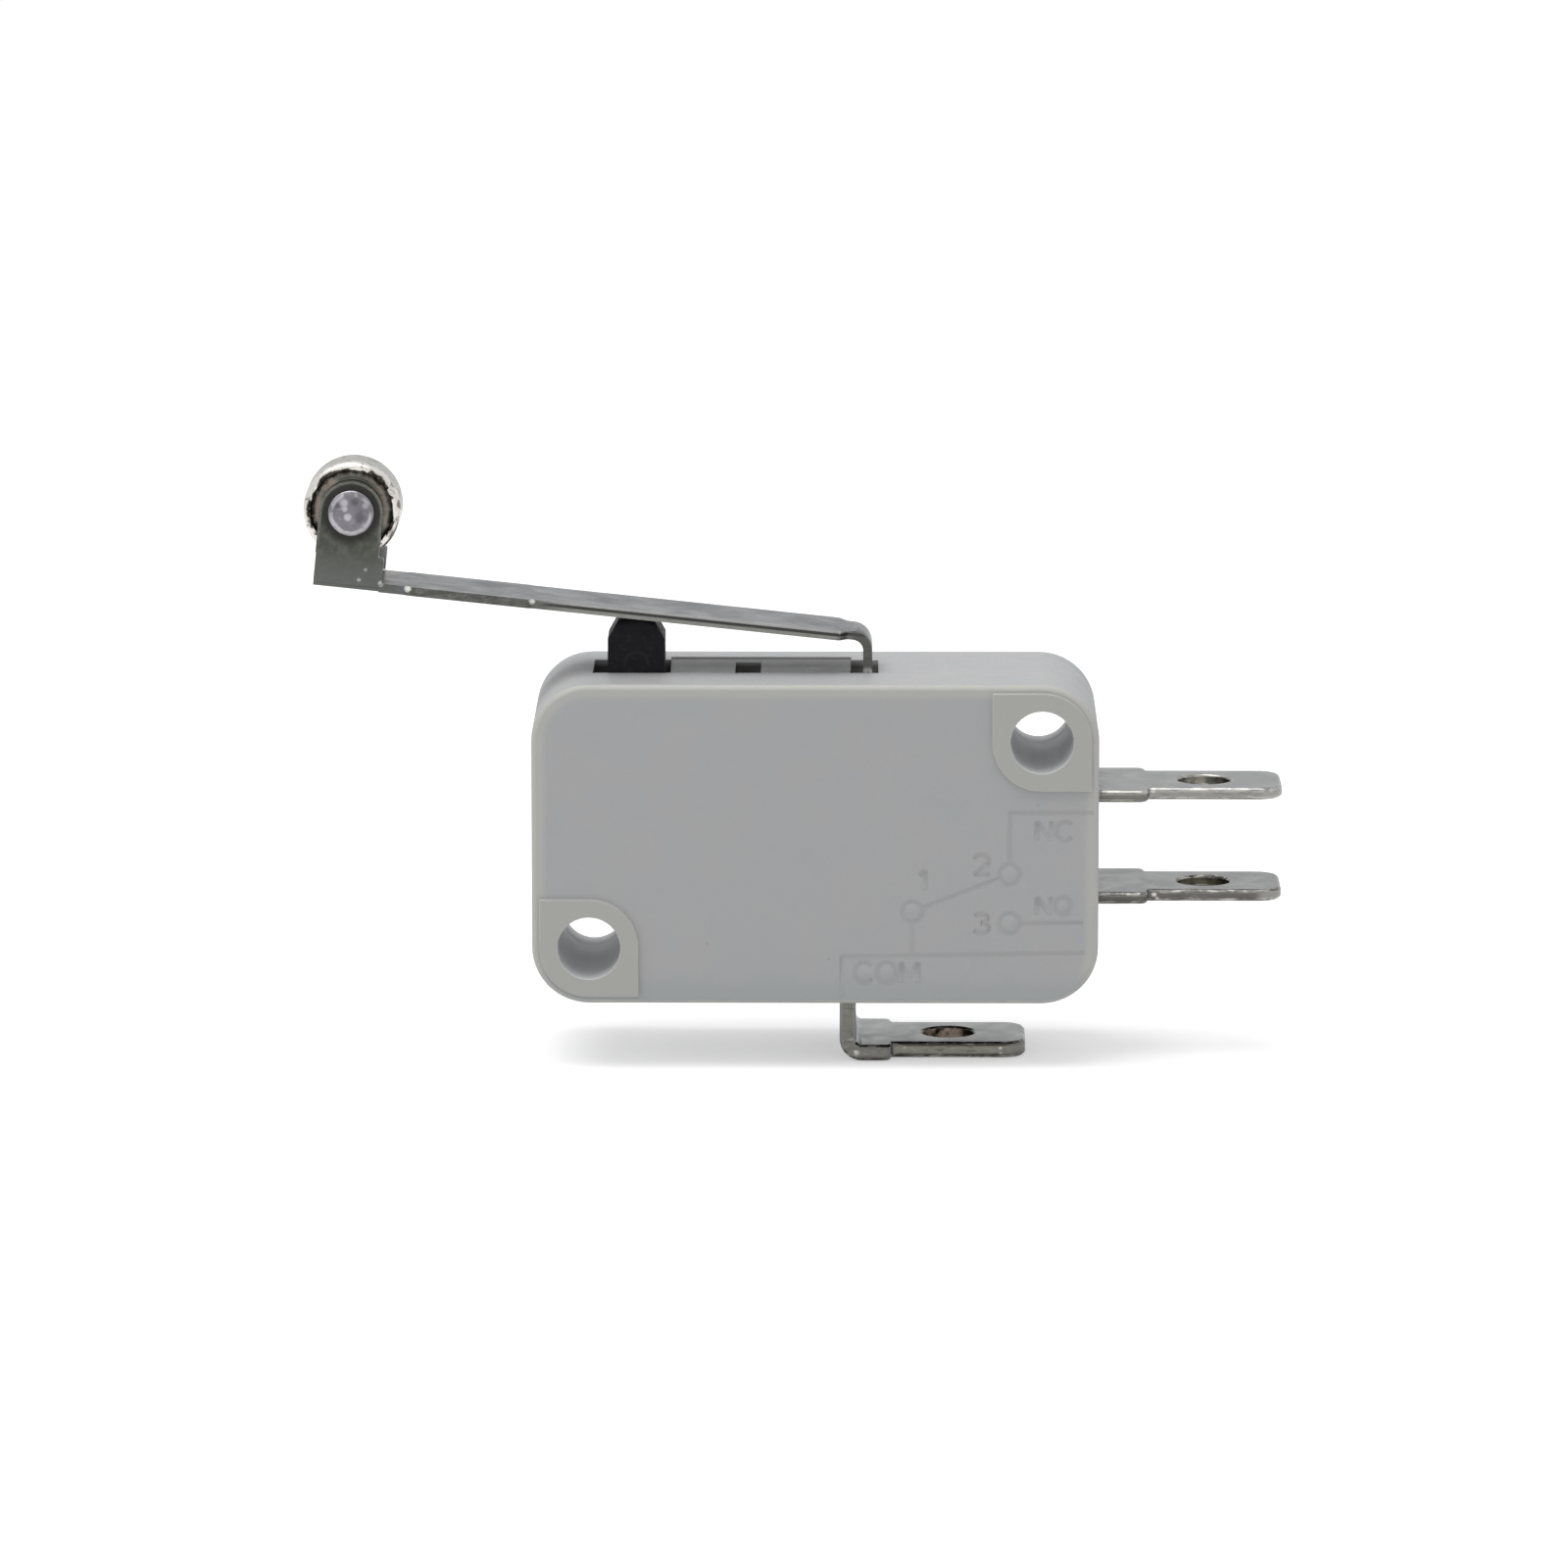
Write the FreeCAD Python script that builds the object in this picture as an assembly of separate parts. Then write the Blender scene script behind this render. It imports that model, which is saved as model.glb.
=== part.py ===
"""Roller lever micro switch, in millimetres.

The origin is on the axis of the lower mounting hole, half way through the housing.
+X runs towards the two side terminals, +Z towards the plunger and the lever, and the
marked face of the housing looks along -Y.

The snap mechanism inside is a lever and a blade on the two sides of a bracket. A
tension spring joins them. The plunger turns the lever, the spring's line passes the
blade's pivot, and the blade flips from the upper fixed contact to the lower one.
"""

import FreeCAD
import Part

import math
import os

from FreeCAD import Vector

# Housing
hole_pitch_x = 22.2
hole_pitch_z = 10.3
mounting_hole_diameter = 3.1
edge_margin = 2.8
cover_thickness = 1.8
housing_corner_radius = 2.8
wall_thickness = 1.2
face_edge_round = 0.3
tube_wall = 0.9
pad_half_width = 2.42
pad_height = 0.2
lip_thickness = 0.6
lip_height = 0.8
cover_pin_radius = 0.45
cover_pin_length = 3.6
pin_boss_wall = 0.4
barrier_thickness = 1.8
groove_depth = 0.12
groove_front_y = -1.3
slot_mouth_depth = 0.65

# Plunger
plunger_x = 2.28
plunger_length = 2.8
plunger_width = 2.76
plunger_shoulder_drop = 1.05
plunger_crown_length = 1.8
plunger_crown_radius = 2.6
plunger_edge_round = 0.35
plunger_hole_gap_left = 0.735
plunger_hole_gap_right = 0.255
flange_thickness = 0.9
flange_overhang = 1.0
foot_length = 1.9
foot_slot_width = 0.9
foot_slot_height = 1.5
guide_rib_thickness = 0.8

# Lever and its hinge slots
hinge_x = 13.665
lever_thickness = 0.45
lever_width = 4.1
lever_middle_width = 4.3
lever_middle_to_roller = 3.23
lever_middle_length = 6.1
lever_slope = 6.0
lever_travel = 9.0
lever_rise = 1.8
lever_bend_radius = 0.55
slot_width = 2.9
lever_slot_gap_left = 0.6
lever_slot_gap_right = 0.3
spare_slot_x = 7.77
spare_slot_length = 1.26
hook_width = 4.2
hook_height = 0.6

# Roller and fork
roller_arm = 25.83
roller_height = 3.555
roller_diameter = 4.8
roller_width = 2.95
roller_rim_round = 0.3
roller_groove_inner = 3.1
roller_groove_outer = 4.0
roller_groove_depth = 0.25
pin_diameter = 1.5
pin_head_diameter = 2.26
pin_head_height = 0.42
pin_tail_diameter = 2.1
pin_tail_height = 0.3
ear_half_width = 1.56
ear_step = 0.08
ear_step_drop = 2.1
fork_tail = 1.53
fork_front = 1.82
fork_bend_radius = 0.15

# Terminals
tab_width = 4.75
tab_thickness = 0.6
tab_length = 9.1
tab_shoulder = 0.775
tab_base_length = 2.5
tab_tip_radius = 1.1
tab_step_radius = 0.45
tab_bevel = 0.12
tab_hole_diameter = 2.6
tab_hole_bevel = 0.1
tab_hole_to_tip = 3.8
nc_tab_z = 7.25
no_tab_z = 2.15
inner_tab_end_x = 18.0
com_thickness = 0.8
com_leg_x = 12.71
com_blade_z = -5.65
com_tip_x = 21.5
com_bend_radius = 0.3
com_base_length = 2.2
com_foot_end_x = 7.4

# Contacts
contact_x = 19.6
fixed_contact_diameter = 2.6
fixed_contact_height = 0.7
moving_contact_diameter = 2.2
contact_crown_radius = 5.0
contact_gap = 1.0
rivet_shank_diameter = 1.3
rivet_tail_diameter = 1.9
rivet_tail_height = 0.25

# Snap mechanism
bracket_x = 8.2
bracket_thickness = 0.6
bracket_bend_radius = 0.3
bracket_base_end_x = 11.6
bracket_arm_width = 0.75
bracket_top_above_pivot = 0.9
bracket_rivet_x = 10.3
bracket_rivet_diameter = 1.2
bracket_rivet_head_diameter = 2.0
bracket_rivet_head_height = 0.3
notch_depth = 0.2
notch_half_angle = 60.0
inner_pivot_z = 2.0
inner_lever_thickness = 0.45
inner_lever_knee_x = 3.75
inner_lever_knee_z = 5.13
inner_lever_window_gap = 0.35
inner_lever_tip_x = 1.3
inner_lever_tip_z = 6.3
inner_lever_bend_radius = 0.4
blade_thickness = 0.4
blade_contact_width = 3.0
blade_overhang = 1.6
knife_length = 0.6
spring_hole_x = 15.6
spring_hole_diameter = 0.6
spring_hook_x = 3.1
spring_wire_diameter = 0.28
spring_mean_radius = 0.85
spring_pitch = 0.84
spring_turns = 10

# Clearances
running_clearance = 0.05
press_clearance = 0.01
contact_clearance = 0.04

# Housing planes that follow from the sizes above
tab_base_width = tab_width + 2 * tab_shoulder
housing_depth = tab_base_width + 2 * (cover_thickness + pad_height)
left = -edge_margin
right = hole_pitch_x + edge_margin
bottom = -edge_margin
top = hole_pitch_z + edge_margin
front = -housing_depth / 2
back = housing_depth / 2
face_y = front + pad_height
rear_face_y = back - pad_height
split_y = tab_base_width / 2
cavity_left = left + wall_thickness
cavity_right = right - wall_thickness
cavity_floor = bottom + wall_thickness
cavity_roof = top - wall_thickness
cavity_front = face_y + wall_thickness
inner_back_y = split_y - lip_height - running_clearance
inner_tab_width = 2 * inner_back_y
tube_radius = mounting_hole_diameter / 2 + tube_wall
mounting_holes = [(0, 0), (hole_pitch_x, hole_pitch_z)]
cover_pins = [
    (cavity_left + cover_pin_radius + pin_boss_wall, cavity_roof - 3.7),
    (cavity_right - barrier_thickness / 2, cavity_floor + 1.7),
]

# Lever line, hinge and plunger travel
slope = math.radians(lever_slope)
hinge_z = top - wall_thickness / 2
lever_corner_z = top + lever_rise
plunger_arm = hinge_x - plunger_x
lever_under_plunger_z = (
    lever_corner_z + plunger_arm * math.tan(slope) - lever_thickness / 2 / math.cos(slope)
)
plunger_travel = plunger_arm * (math.tan(slope) - math.tan(slope - math.radians(lever_travel)))
crown_centre_z = (
    lever_under_plunger_z - (plunger_crown_radius + contact_clearance) / math.cos(slope)
)
plunger_top = crown_centre_z + plunger_crown_radius

# Fixed contacts, blade pivot and blade angle
nc_face_z = nc_tab_z - tab_thickness / 2 - fixed_contact_height
no_face_z = no_tab_z + tab_thickness / 2 + fixed_contact_height
blade_pivot_z = (nc_face_z + no_face_z) / 2
blade_pivot_x = bracket_x + bracket_thickness / 2 - notch_depth + running_clearance
moving_contact_half = (nc_face_z - no_face_z - contact_gap) / 2
blade_angle = math.degrees(
    math.asin((contact_gap / 2 - contact_clearance) / (contact_x - blade_pivot_x))
)
inner_pivot_x = bracket_x - bracket_thickness / 2 + notch_depth - running_clearance
arm_inner_y = inner_tab_width / 2 - bracket_arm_width
roller_bore_radius = pin_diameter / 2 + running_clearance
fork_gap = roller_width + 4 * running_clearance
fork_width = fork_gap + 2 * lever_thickness


def xz(y):
    """Return a function that places outline points on the plane at this y."""
    return lambda a, b: Vector(a, y, b)


def xy(z):
    """Return a function that places outline points on the plane at this z."""
    return lambda a, b: Vector(a, b, z)


def outline(corners, place):
    """Return a closed wire through (a, b, radius) corners, each rounded by its radius."""
    count = len(corners)
    tangents = []
    for i in range(count):
        a, b, radius = corners[i]
        before = corners[i - 1]
        after = corners[(i + 1) % count]
        here = Vector(a, b, 0)
        to_before = (Vector(before[0], before[1], 0) - here).normalize()
        to_after = (Vector(after[0], after[1], 0) - here).normalize()
        if radius <= 0:
            tangents.append((here, None, here))
            continue
        half = to_before.getAngle(to_after) / 2
        reach = radius / math.tan(half)
        middle_way = (to_before + to_after).normalize()
        middle = here + middle_way * (radius / math.sin(half) - radius)
        tangents.append((here + to_before * reach, middle, here + to_after * reach))
    edges = []
    for i in range(count):
        start, middle, end = [p and place(p.x, p.y) for p in tangents[i]]
        following = tangents[(i + 1) % count][0]
        following = place(following.x, following.y)
        if middle:
            edges.append(Part.Arc(start, middle, end).toShape())
        if end.distanceToPoint(following) > 1e-6:
            edges.append(Part.LineSegment(end, following).toShape())
    return Part.Wire(edges)


def prism_y(corners, y0, y1):
    """Extrude an outline in X and Z from y0 to y1."""
    return Part.Face(outline(corners, xz(y0))).extrude(Vector(0, y1 - y0, 0))


def prism_z(corners, z0, z1):
    """Extrude an outline in X and Y from z0 to z1."""
    return Part.Face(outline(corners, xy(z0))).extrude(Vector(0, 0, z1 - z0))


def block(x0, x1, y0, y1, z0, z1):
    """Return a box between two corners."""
    return Part.makeBox(x1 - x0, y1 - y0, z1 - z0, Vector(x0, y0, z0))


def rod_y(radius, x, z, y0, y1):
    """Return a cylinder along Y."""
    return Part.makeCylinder(radius, y1 - y0, Vector(x, y0, z), Vector(0, 1, 0))


def rod_z(radius, x, y, z0, z1):
    """Return a cylinder along Z."""
    return Part.makeCylinder(radius, z1 - z0, Vector(x, y, z0), Vector(0, 0, 1))


def turned(profile, centre, axis):
    """Turn (radius, height) corners about an axis through the centre point."""
    wire = outline(profile, lambda a, b: Vector(a, 0, b))
    solid = Part.Face(wire).revolve(Vector(0, 0, 0), Vector(0, 0, 1), 360)
    solid.Placement = FreeCAD.Placement(centre, FreeCAD.Rotation(Vector(0, 0, 1), axis))
    return solid


def bent_strip(points, bend_radius, thickness, width, knife=0.0):
    """Return a folded strip of sheet along (x, z) points, centred on y = 0.

    With a knife length, the strip's first end comes to an edge over that length.
    """
    path = [Vector(x, 0, z) for x, z in points]
    half = thickness / 2
    turn = Vector(0, 1, 0)
    sides = {1: [], -1: []}
    first_way = (path[1] - path[0]).normalize()
    first_normal = turn.cross(first_way)
    for side in sides:
        start = path[0] + first_way * knife + first_normal * (half * side)
        sides[side].append(start)
    segments = {1: [], -1: []}
    for i in range(1, len(path) - 1):
        way_in = (path[i] - path[i - 1]).normalize()
        way_out = (path[i + 1] - path[i]).normalize()
        middle_radius = bend_radius + half
        angle = way_in.getAngle(way_out)
        reach = middle_radius * math.tan(angle / 2)
        start = path[i] - way_in * reach
        end = path[i] + way_out * reach
        inward = (way_out - way_in).normalize()
        centre = path[i] + inward * (middle_radius / math.cos(angle / 2))
        for side in sides:
            arc_start = start + turn.cross(way_in) * (half * side)
            arc_end = end + turn.cross(way_out) * (half * side)
            arc_radius = (arc_start - centre).Length
            arc_middle = centre - inward * arc_radius
            segments[side].append(Part.LineSegment(sides[side][-1], arc_start).toShape())
            segments[side].append(Part.Arc(arc_start, arc_middle, arc_end).toShape())
            sides[side].append(arc_end)
    last_normal = turn.cross((path[-1] - path[-2]).normalize())
    for side in sides:
        finish = path[-1] + last_normal * (half * side)
        segments[side].append(Part.LineSegment(sides[side][-1], finish).toShape())
        sides[side].append(finish)
    caps = [Part.LineSegment(sides[1][-1], sides[-1][-1]).toShape()]
    if knife > 0:
        caps.append(Part.LineSegment(path[0], sides[1][0]).toShape())
        caps.append(Part.LineSegment(path[0], sides[-1][0]).toShape())
    else:
        caps.append(Part.LineSegment(sides[1][0], sides[-1][0]).toShape())
    loop = Part.__sortEdges__(segments[1] + segments[-1] + caps)
    strip = Part.Face(Part.Wire(loop)).extrude(Vector(0, width, 0))
    strip.translate(Vector(0, -width / 2, 0))
    return strip


def edges_on_plane(solid, axis, value):
    """Return the edges whose whole length lies on one plane."""
    low = axis + "Min"
    high = axis + "Max"
    found = []
    for edge in solid.Edges:
        box = edge.BoundBox
        if abs(getattr(box, low) - value) < 1e-4 and abs(getattr(box, high) - value) < 1e-4:
            found.append(edge)
    return found


def housing_outline(inset=0.0):
    """Return the housing's outline corners, moved inwards by the inset."""
    radius = max(housing_corner_radius - inset, 0.1)
    x0 = left + inset
    x1 = right - inset
    z0 = bottom + inset
    z1 = top - inset
    return [(x0, z0, radius), (x1, z0, radius), (x1, z1, radius), (x0, z1, radius)]


def mounting_pads(y0, y1):
    """Return the two raised pads, leaf shaped, round the mounting holes."""
    w = pad_half_width
    pads = []
    for x, z in mounting_holes:
        corners = [
            (x - w, z - w, w * 0.98),
            (x + w, z - w, 0),
            (x + w, z + w, w * 0.98),
            (x - w, z + w, 0),
        ]
        pads.append(prism_y(corners, y0, y1))
    return pads


def mounting_bores():
    """Return the two mounting holes as tools that run right through."""
    radius = mounting_hole_diameter / 2
    return [rod_y(radius, x, z, front - 1, back + 1) for x, z in mounting_holes]


def make_case():
    """Moulded case: marked face, four walls, hole tubes, guides and terminal slots."""
    shell = prism_y(housing_outline(), face_y, split_y)
    shell = shell.makeFillet(face_edge_round, edges_on_plane(shell, "Y", face_y))
    shell = shell.cut(prism_y(housing_outline(wall_thickness), cavity_front, split_y + 1))
    additions = mounting_pads(front, face_y + wall_thickness / 2)
    inside = prism_y(housing_outline(wall_thickness / 2), cavity_front - 0.1, split_y)
    for x, z in mounting_holes:
        additions.append(rod_y(tube_radius, x, z, cavity_front - 0.1, split_y).common(inside))
    additions.extend(plunger_guides())
    additions.extend(terminal_supports())
    shell = shell.fuse(additions)
    openings = mounting_bores() + top_wall_slots() + terminal_slots()
    for x, z in cover_pins:
        hole_end = split_y - cover_pin_length - running_clearance
        openings.append(rod_y(cover_pin_radius + running_clearance, x, z, hole_end, split_y))
    return shell.cut(openings).removeSplitter()


def plunger_guides():
    """Ribs beside the plunger's flange, and the boss for the upper cover pin."""
    flange_half = plunger_length / 2 + flange_overhang
    rib_foot = cavity_roof - flange_thickness - plunger_travel
    ribs = []
    for side in (-1, 1):
        near = plunger_x + side * (flange_half + running_clearance)
        far = near + side * guide_rib_thickness
        rib = block(min(near, far), max(near, far), cavity_front - 0.1, inner_back_y,
                    rib_foot, cavity_roof + 0.1)
        ribs.append(rib)
    x, z = cover_pins[0]
    boss_radius = cover_pin_radius + running_clearance + pin_boss_wall
    boss = rod_y(boss_radius, x, z, cavity_front - 0.1, inner_back_y)
    web = block(cavity_left - 0.1, x, cavity_front - 0.1, inner_back_y,
                z - boss_radius, z + boss_radius)
    return ribs + [boss, web]


def terminal_supports():
    """Blocks by the right wall that hold the side terminals and keep them apart."""
    x0 = cavity_right - barrier_thickness
    x1 = cavity_right + 0.1
    low = block(x0, x1, cavity_front - 0.1, inner_back_y,
                cavity_floor - 0.1, no_tab_z - tab_thickness / 2)
    high = block(x0, x1, cavity_front - 0.1, inner_back_y,
                 no_tab_z + tab_thickness / 2, nc_tab_z - tab_thickness / 2)
    return [low, high]


def top_wall_slots():
    """Openings in the top wall, each with a longer mouth, and the groove between them."""
    half = slot_width / 2
    z0 = cavity_roof - 0.5
    z1 = top + 0.5
    plunger_left = plunger_x - plunger_length / 2 - plunger_hole_gap_left
    plunger_right = plunger_x + plunger_length / 2 + plunger_hole_gap_right
    hook_left = hinge_x - lever_thickness / 2 - lever_slot_gap_left
    hook_right = hinge_x + lever_thickness / 2 + lever_slot_gap_right
    spare_left = spare_slot_x - spare_slot_length / 2
    spare_right = spare_slot_x + spare_slot_length / 2
    groove = block(plunger_right, hook_left, groove_front_y, split_y + 1, top - groove_depth, z1)
    slots = [groove]
    for left, right in ((plunger_left, plunger_right), (spare_left, spare_right), (hook_left, hook_right)):
        slots.append(block(left, right, -half, half, z0, z1))
        slots.append(block(left, right, -half, inner_back_y, top - slot_mouth_depth, z1))
    return slots


def terminal_slots():
    """Slots through the walls for the three terminals, open towards the cover."""
    half = tab_base_width / 2
    slots = []
    for z in (nc_tab_z, no_tab_z):
        slots.append(block(cavity_right - 0.1, right + 1, -half, split_y + 1,
                           z - tab_thickness / 2, z + tab_thickness / 2))
    leg_left = com_leg_x - com_thickness / 2
    leg_right = com_leg_x + com_thickness / 2
    slots.append(block(leg_left, leg_right, -half, split_y + 1, bottom - 1, cavity_floor + 0.1))
    relief = com_bend_radius
    slots.append(block(leg_left - relief, leg_left + 0.1, -half, split_y + 1,
                       cavity_floor - relief, cavity_floor + 0.1))
    return slots


def make_cover():
    """Moulded cover: back plate with a locating lip, two pins and raised pads."""
    plate = prism_y(housing_outline(), split_y, rear_face_y)
    plate = plate.makeFillet(face_edge_round, edges_on_plane(plate, "Y", rear_face_y))
    gap = wall_thickness + running_clearance
    lip = prism_y(housing_outline(gap), split_y - lip_height, split_y)
    lip = lip.cut(prism_y(housing_outline(gap + lip_thickness), inner_back_y - 1, split_y + 1))
    for x, z in mounting_holes:
        lip = lip.cut(rod_y(tube_radius + running_clearance, x, z, front, back))
    pins = []
    for x, z in cover_pins:
        pins.append(rod_y(cover_pin_radius, x, z, split_y - cover_pin_length, split_y))
    pads = mounting_pads(rear_face_y - wall_thickness / 2, back)
    cover = plate.fuse([lip] + pins + pads)
    return cover.cut(mounting_bores()).removeSplitter()


def make_plunger():
    """Moulded plunger: crowned head, retaining flange, and a foot slotted for the hook."""
    half = plunger_length / 2
    crown_half = plunger_crown_length / 2
    crown_edge_z = crown_centre_z + math.sqrt(plunger_crown_radius ** 2 - crown_half ** 2)
    shoulder_z = plunger_top - plunger_shoulder_drop
    stem_foot = cavity_roof - flange_thickness
    points = [
        Vector(plunger_x - half, 0, stem_foot),
        Vector(plunger_x - half, 0, shoulder_z),
        Vector(plunger_x - crown_half, 0, crown_edge_z),
        Vector(plunger_x, 0, plunger_top),
        Vector(plunger_x + crown_half, 0, crown_edge_z),
        Vector(plunger_x + half, 0, shoulder_z),
        Vector(plunger_x + half, 0, stem_foot),
    ]
    edges = [
        Part.LineSegment(points[0], points[1]).toShape(),
        Part.LineSegment(points[1], points[2]).toShape(),
        Part.Arc(points[2], points[3], points[4]).toShape(),
        Part.LineSegment(points[4], points[5]).toShape(),
        Part.LineSegment(points[5], points[6]).toShape(),
        Part.LineSegment(points[6], points[0]).toShape(),
    ]
    head = Part.Face(Part.Wire(edges)).extrude(Vector(0, plunger_width, 0))
    head.translate(Vector(0, -plunger_width / 2, 0))
    crown_edges = []
    for edge in head.Edges:
        box = edge.BoundBox
        flat_in_y = box.YMax - box.YMin < 1e-6
        if flat_in_y and box.ZMax > crown_edge_z + 1e-3:
            crown_edges.append(edge)
    head = head.makeFillet(plunger_edge_round, crown_edges)
    flange_half = half + flange_overhang
    flange = block(plunger_x - flange_half, plunger_x + flange_half,
                   -plunger_width / 2, plunger_width / 2,
                   cavity_roof - flange_thickness - running_clearance,
                   cavity_roof - running_clearance)
    foot_half = foot_length / 2
    foot_tip_z = inner_lever_top_z(plunger_x) + foot_half
    foot = block(plunger_x - foot_half, plunger_x + foot_half,
                 -plunger_width / 2, plunger_width / 2, foot_tip_z, stem_foot + 0.1)
    toe = rod_y(foot_half, plunger_x, foot_tip_z, -plunger_width / 2, plunger_width / 2)
    slot = block(plunger_x - foot_length, plunger_x + foot_length,
                 -foot_slot_width / 2, foot_slot_width / 2,
                 foot_tip_z - foot_length, foot_tip_z - foot_half + foot_slot_height)
    return head.fuse([flange, foot, toe]).removeSplitter().cut(slot)


def inner_lever_top_z(x):
    """Return the height where a round toe of the foot's radius rests on the inner lever."""
    run = inner_lever_knee_x - inner_lever_tip_x
    rise = inner_lever_tip_z - inner_lever_knee_z
    angle = math.atan2(rise, run)
    surface = inner_lever_knee_z + (inner_lever_knee_x - x) * math.tan(angle)
    surface += inner_lever_thickness / 2 / math.cos(angle)
    radius = foot_length / 2
    return surface + (radius + contact_clearance) / math.cos(angle) - radius


def make_lever():
    """Stamped lever: hinge hook with two lugs, long arm, and a fork for the roller."""
    tilt = FreeCAD.Rotation(Vector(0, 1, 0), lever_slope)
    corner = Vector(hinge_x, 0, lever_corner_z)
    arm_length = roller_arm + fork_tail
    arm_end = corner + tilt.multVec(Vector(-arm_length, 0, 0))
    hook_foot = cavity_roof - 2 * running_clearance - hook_height
    arm = bent_strip([(hinge_x, hook_foot), (hinge_x, lever_corner_z), (arm_end.x, arm_end.z)],
                     lever_bend_radius, lever_thickness, lever_width + 2)
    fork_front_x = hinge_x - roller_arm + fork_front
    middle_end_x = hinge_x - roller_arm + lever_middle_to_roller
    middle_start_x = middle_end_x + lever_middle_length
    hook_edge_x = hinge_x - lever_bend_radius - lever_thickness
    floor_half = fork_gap / 2 + lever_thickness / 2
    half = lever_width / 2
    middle = lever_middle_width / 2
    neck = slot_width / 2 - running_clearance
    far = hinge_x - arm_length - 2
    near = hinge_x + lever_thickness
    upper_side = [
        (near, neck, 0),
        (hook_edge_x, neck, 0.25),
        (hook_edge_x - 0.4, half, 0.3),
        (middle_start_x, half, 0.1),
        (middle_start_x - 0.15, middle, 0.1),
        (middle_end_x, middle, 0.1),
        (middle_end_x - 0.15, half, 0.1),
        (fork_front_x, half, 0),
        (fork_front_x, floor_half, 0),
        (far, floor_half, 0),
    ]
    lower_side = [(x, -y, r) for x, y, r in reversed(upper_side)]
    plan = prism_z(upper_side + lower_side, cavity_roof, lever_corner_z + roller_arm)
    hook = block(hinge_x - lever_thickness / 2, hinge_x + lever_thickness / 2,
                 -hook_width / 2, hook_width / 2, hook_foot, hook_foot + hook_height)
    neck_strip = block(hinge_x - lever_thickness / 2, hinge_x + lever_thickness / 2,
                       -neck, neck, hook_foot, top)
    lever = arm.common(plan).fuse([hook, neck_strip])
    ears = [fork_ear(side) for side in (-1, 1)]
    fork = ears[0].fuse(ears[1])
    fork.rotate(Vector(0, 0, 0), Vector(0, 1, 0), lever_slope)
    fork.translate(corner)
    return lever.fuse(fork).removeSplitter()


def fork_ear(side):
    """Return one ear of the fork with its bend, in the lever's own level frame."""
    half = lever_thickness / 2
    pin_x = -roller_arm
    tail_x = pin_x - fork_tail
    front_x = pin_x + fork_front
    step_z = roller_height - ear_step_drop
    bend_top = half + fork_bend_radius
    w = ear_half_width
    corners = [
        (tail_x, bend_top, 0),
        (front_x, bend_top, 0),
        (front_x, step_z, 0.1),
        (pin_x + w, step_z, 0.05),
        (pin_x + w, roller_height + w, w * 0.995),
        (pin_x - w, roller_height + w, w * 0.995),
        (pin_x - w, step_z, 0.03),
        (tail_x, step_z, 0.03),
    ]
    inner = fork_gap / 2
    outer = inner + lever_thickness
    plate = prism_y(corners, inner, outer)
    plate = plate.cut(rod_y(pin_diameter / 2 + press_clearance, pin_x, roller_height, 0, outer + 1))
    bend_radius = fork_bend_radius + lever_thickness
    bend_y = inner - fork_bend_radius
    bend = Part.makeCylinder(bend_radius, front_x - tail_x, Vector(tail_x, bend_y, bend_top),
                             Vector(1, 0, 0))
    bore = Part.makeCylinder(fork_bend_radius, front_x - tail_x, Vector(tail_x, bend_y, bend_top),
                             Vector(1, 0, 0))
    quarter = block(tail_x, front_x, bend_y, outer + 1, bend_top - bend_radius - 1, bend_top)
    bend = bend.cut(bore).common(quarter)
    floor = block(tail_x, front_x, 0, bend_y, -half, half)
    ear = plate.fuse([bend, floor])
    if side < 0:
        ear = ear.mirror(Vector(0, 0, 0), Vector(0, 1, 0))
    return ear


def pin_centre():
    """Return where the roller's axis crosses y = 0."""
    tilt = FreeCAD.Rotation(Vector(0, 1, 0), lever_slope)
    offset = tilt.multVec(Vector(-roller_arm, 0, roller_height))
    return Vector(hinge_x, 0, lever_corner_z) + offset


def make_roller():
    """Turned roller: rounded rim, a ring groove on each side and a bore."""
    half = roller_width / 2
    rim = half - 0.04
    bore = roller_bore_radius
    outer = roller_diameter / 2
    groove_in = roller_groove_inner / 2
    groove_out = roller_groove_outer / 2
    floor = half - roller_groove_depth
    upper = [
        (bore, half, 0),
        (groove_in, half, 0),
        (groove_in, floor, 0),
        (groove_out, floor, 0),
        (groove_out, rim, 0.05),
        (outer, rim, roller_rim_round),
    ]
    lower = [(r, -h, c) for r, h, c in reversed(upper)]
    return turned(upper + lower, pin_centre(), Vector(0, 1, 0))


def make_roller_pin():
    """Rivet through the fork: domed head in front, shank, and a closed tail behind."""
    half = fork_width / 2
    centre = pin_centre()
    shank = rod_y(pin_diameter / 2, centre.x, centre.z, -half - 0.05, half + 0.05)
    head = dome(pin_head_diameter / 2, pin_head_height, centre.x, -half, centre.z, -1)
    tail = dome(pin_tail_diameter / 2, pin_tail_height, centre.x, half, centre.z, 1)
    return shank.fuse([head, tail]).removeSplitter()


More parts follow.
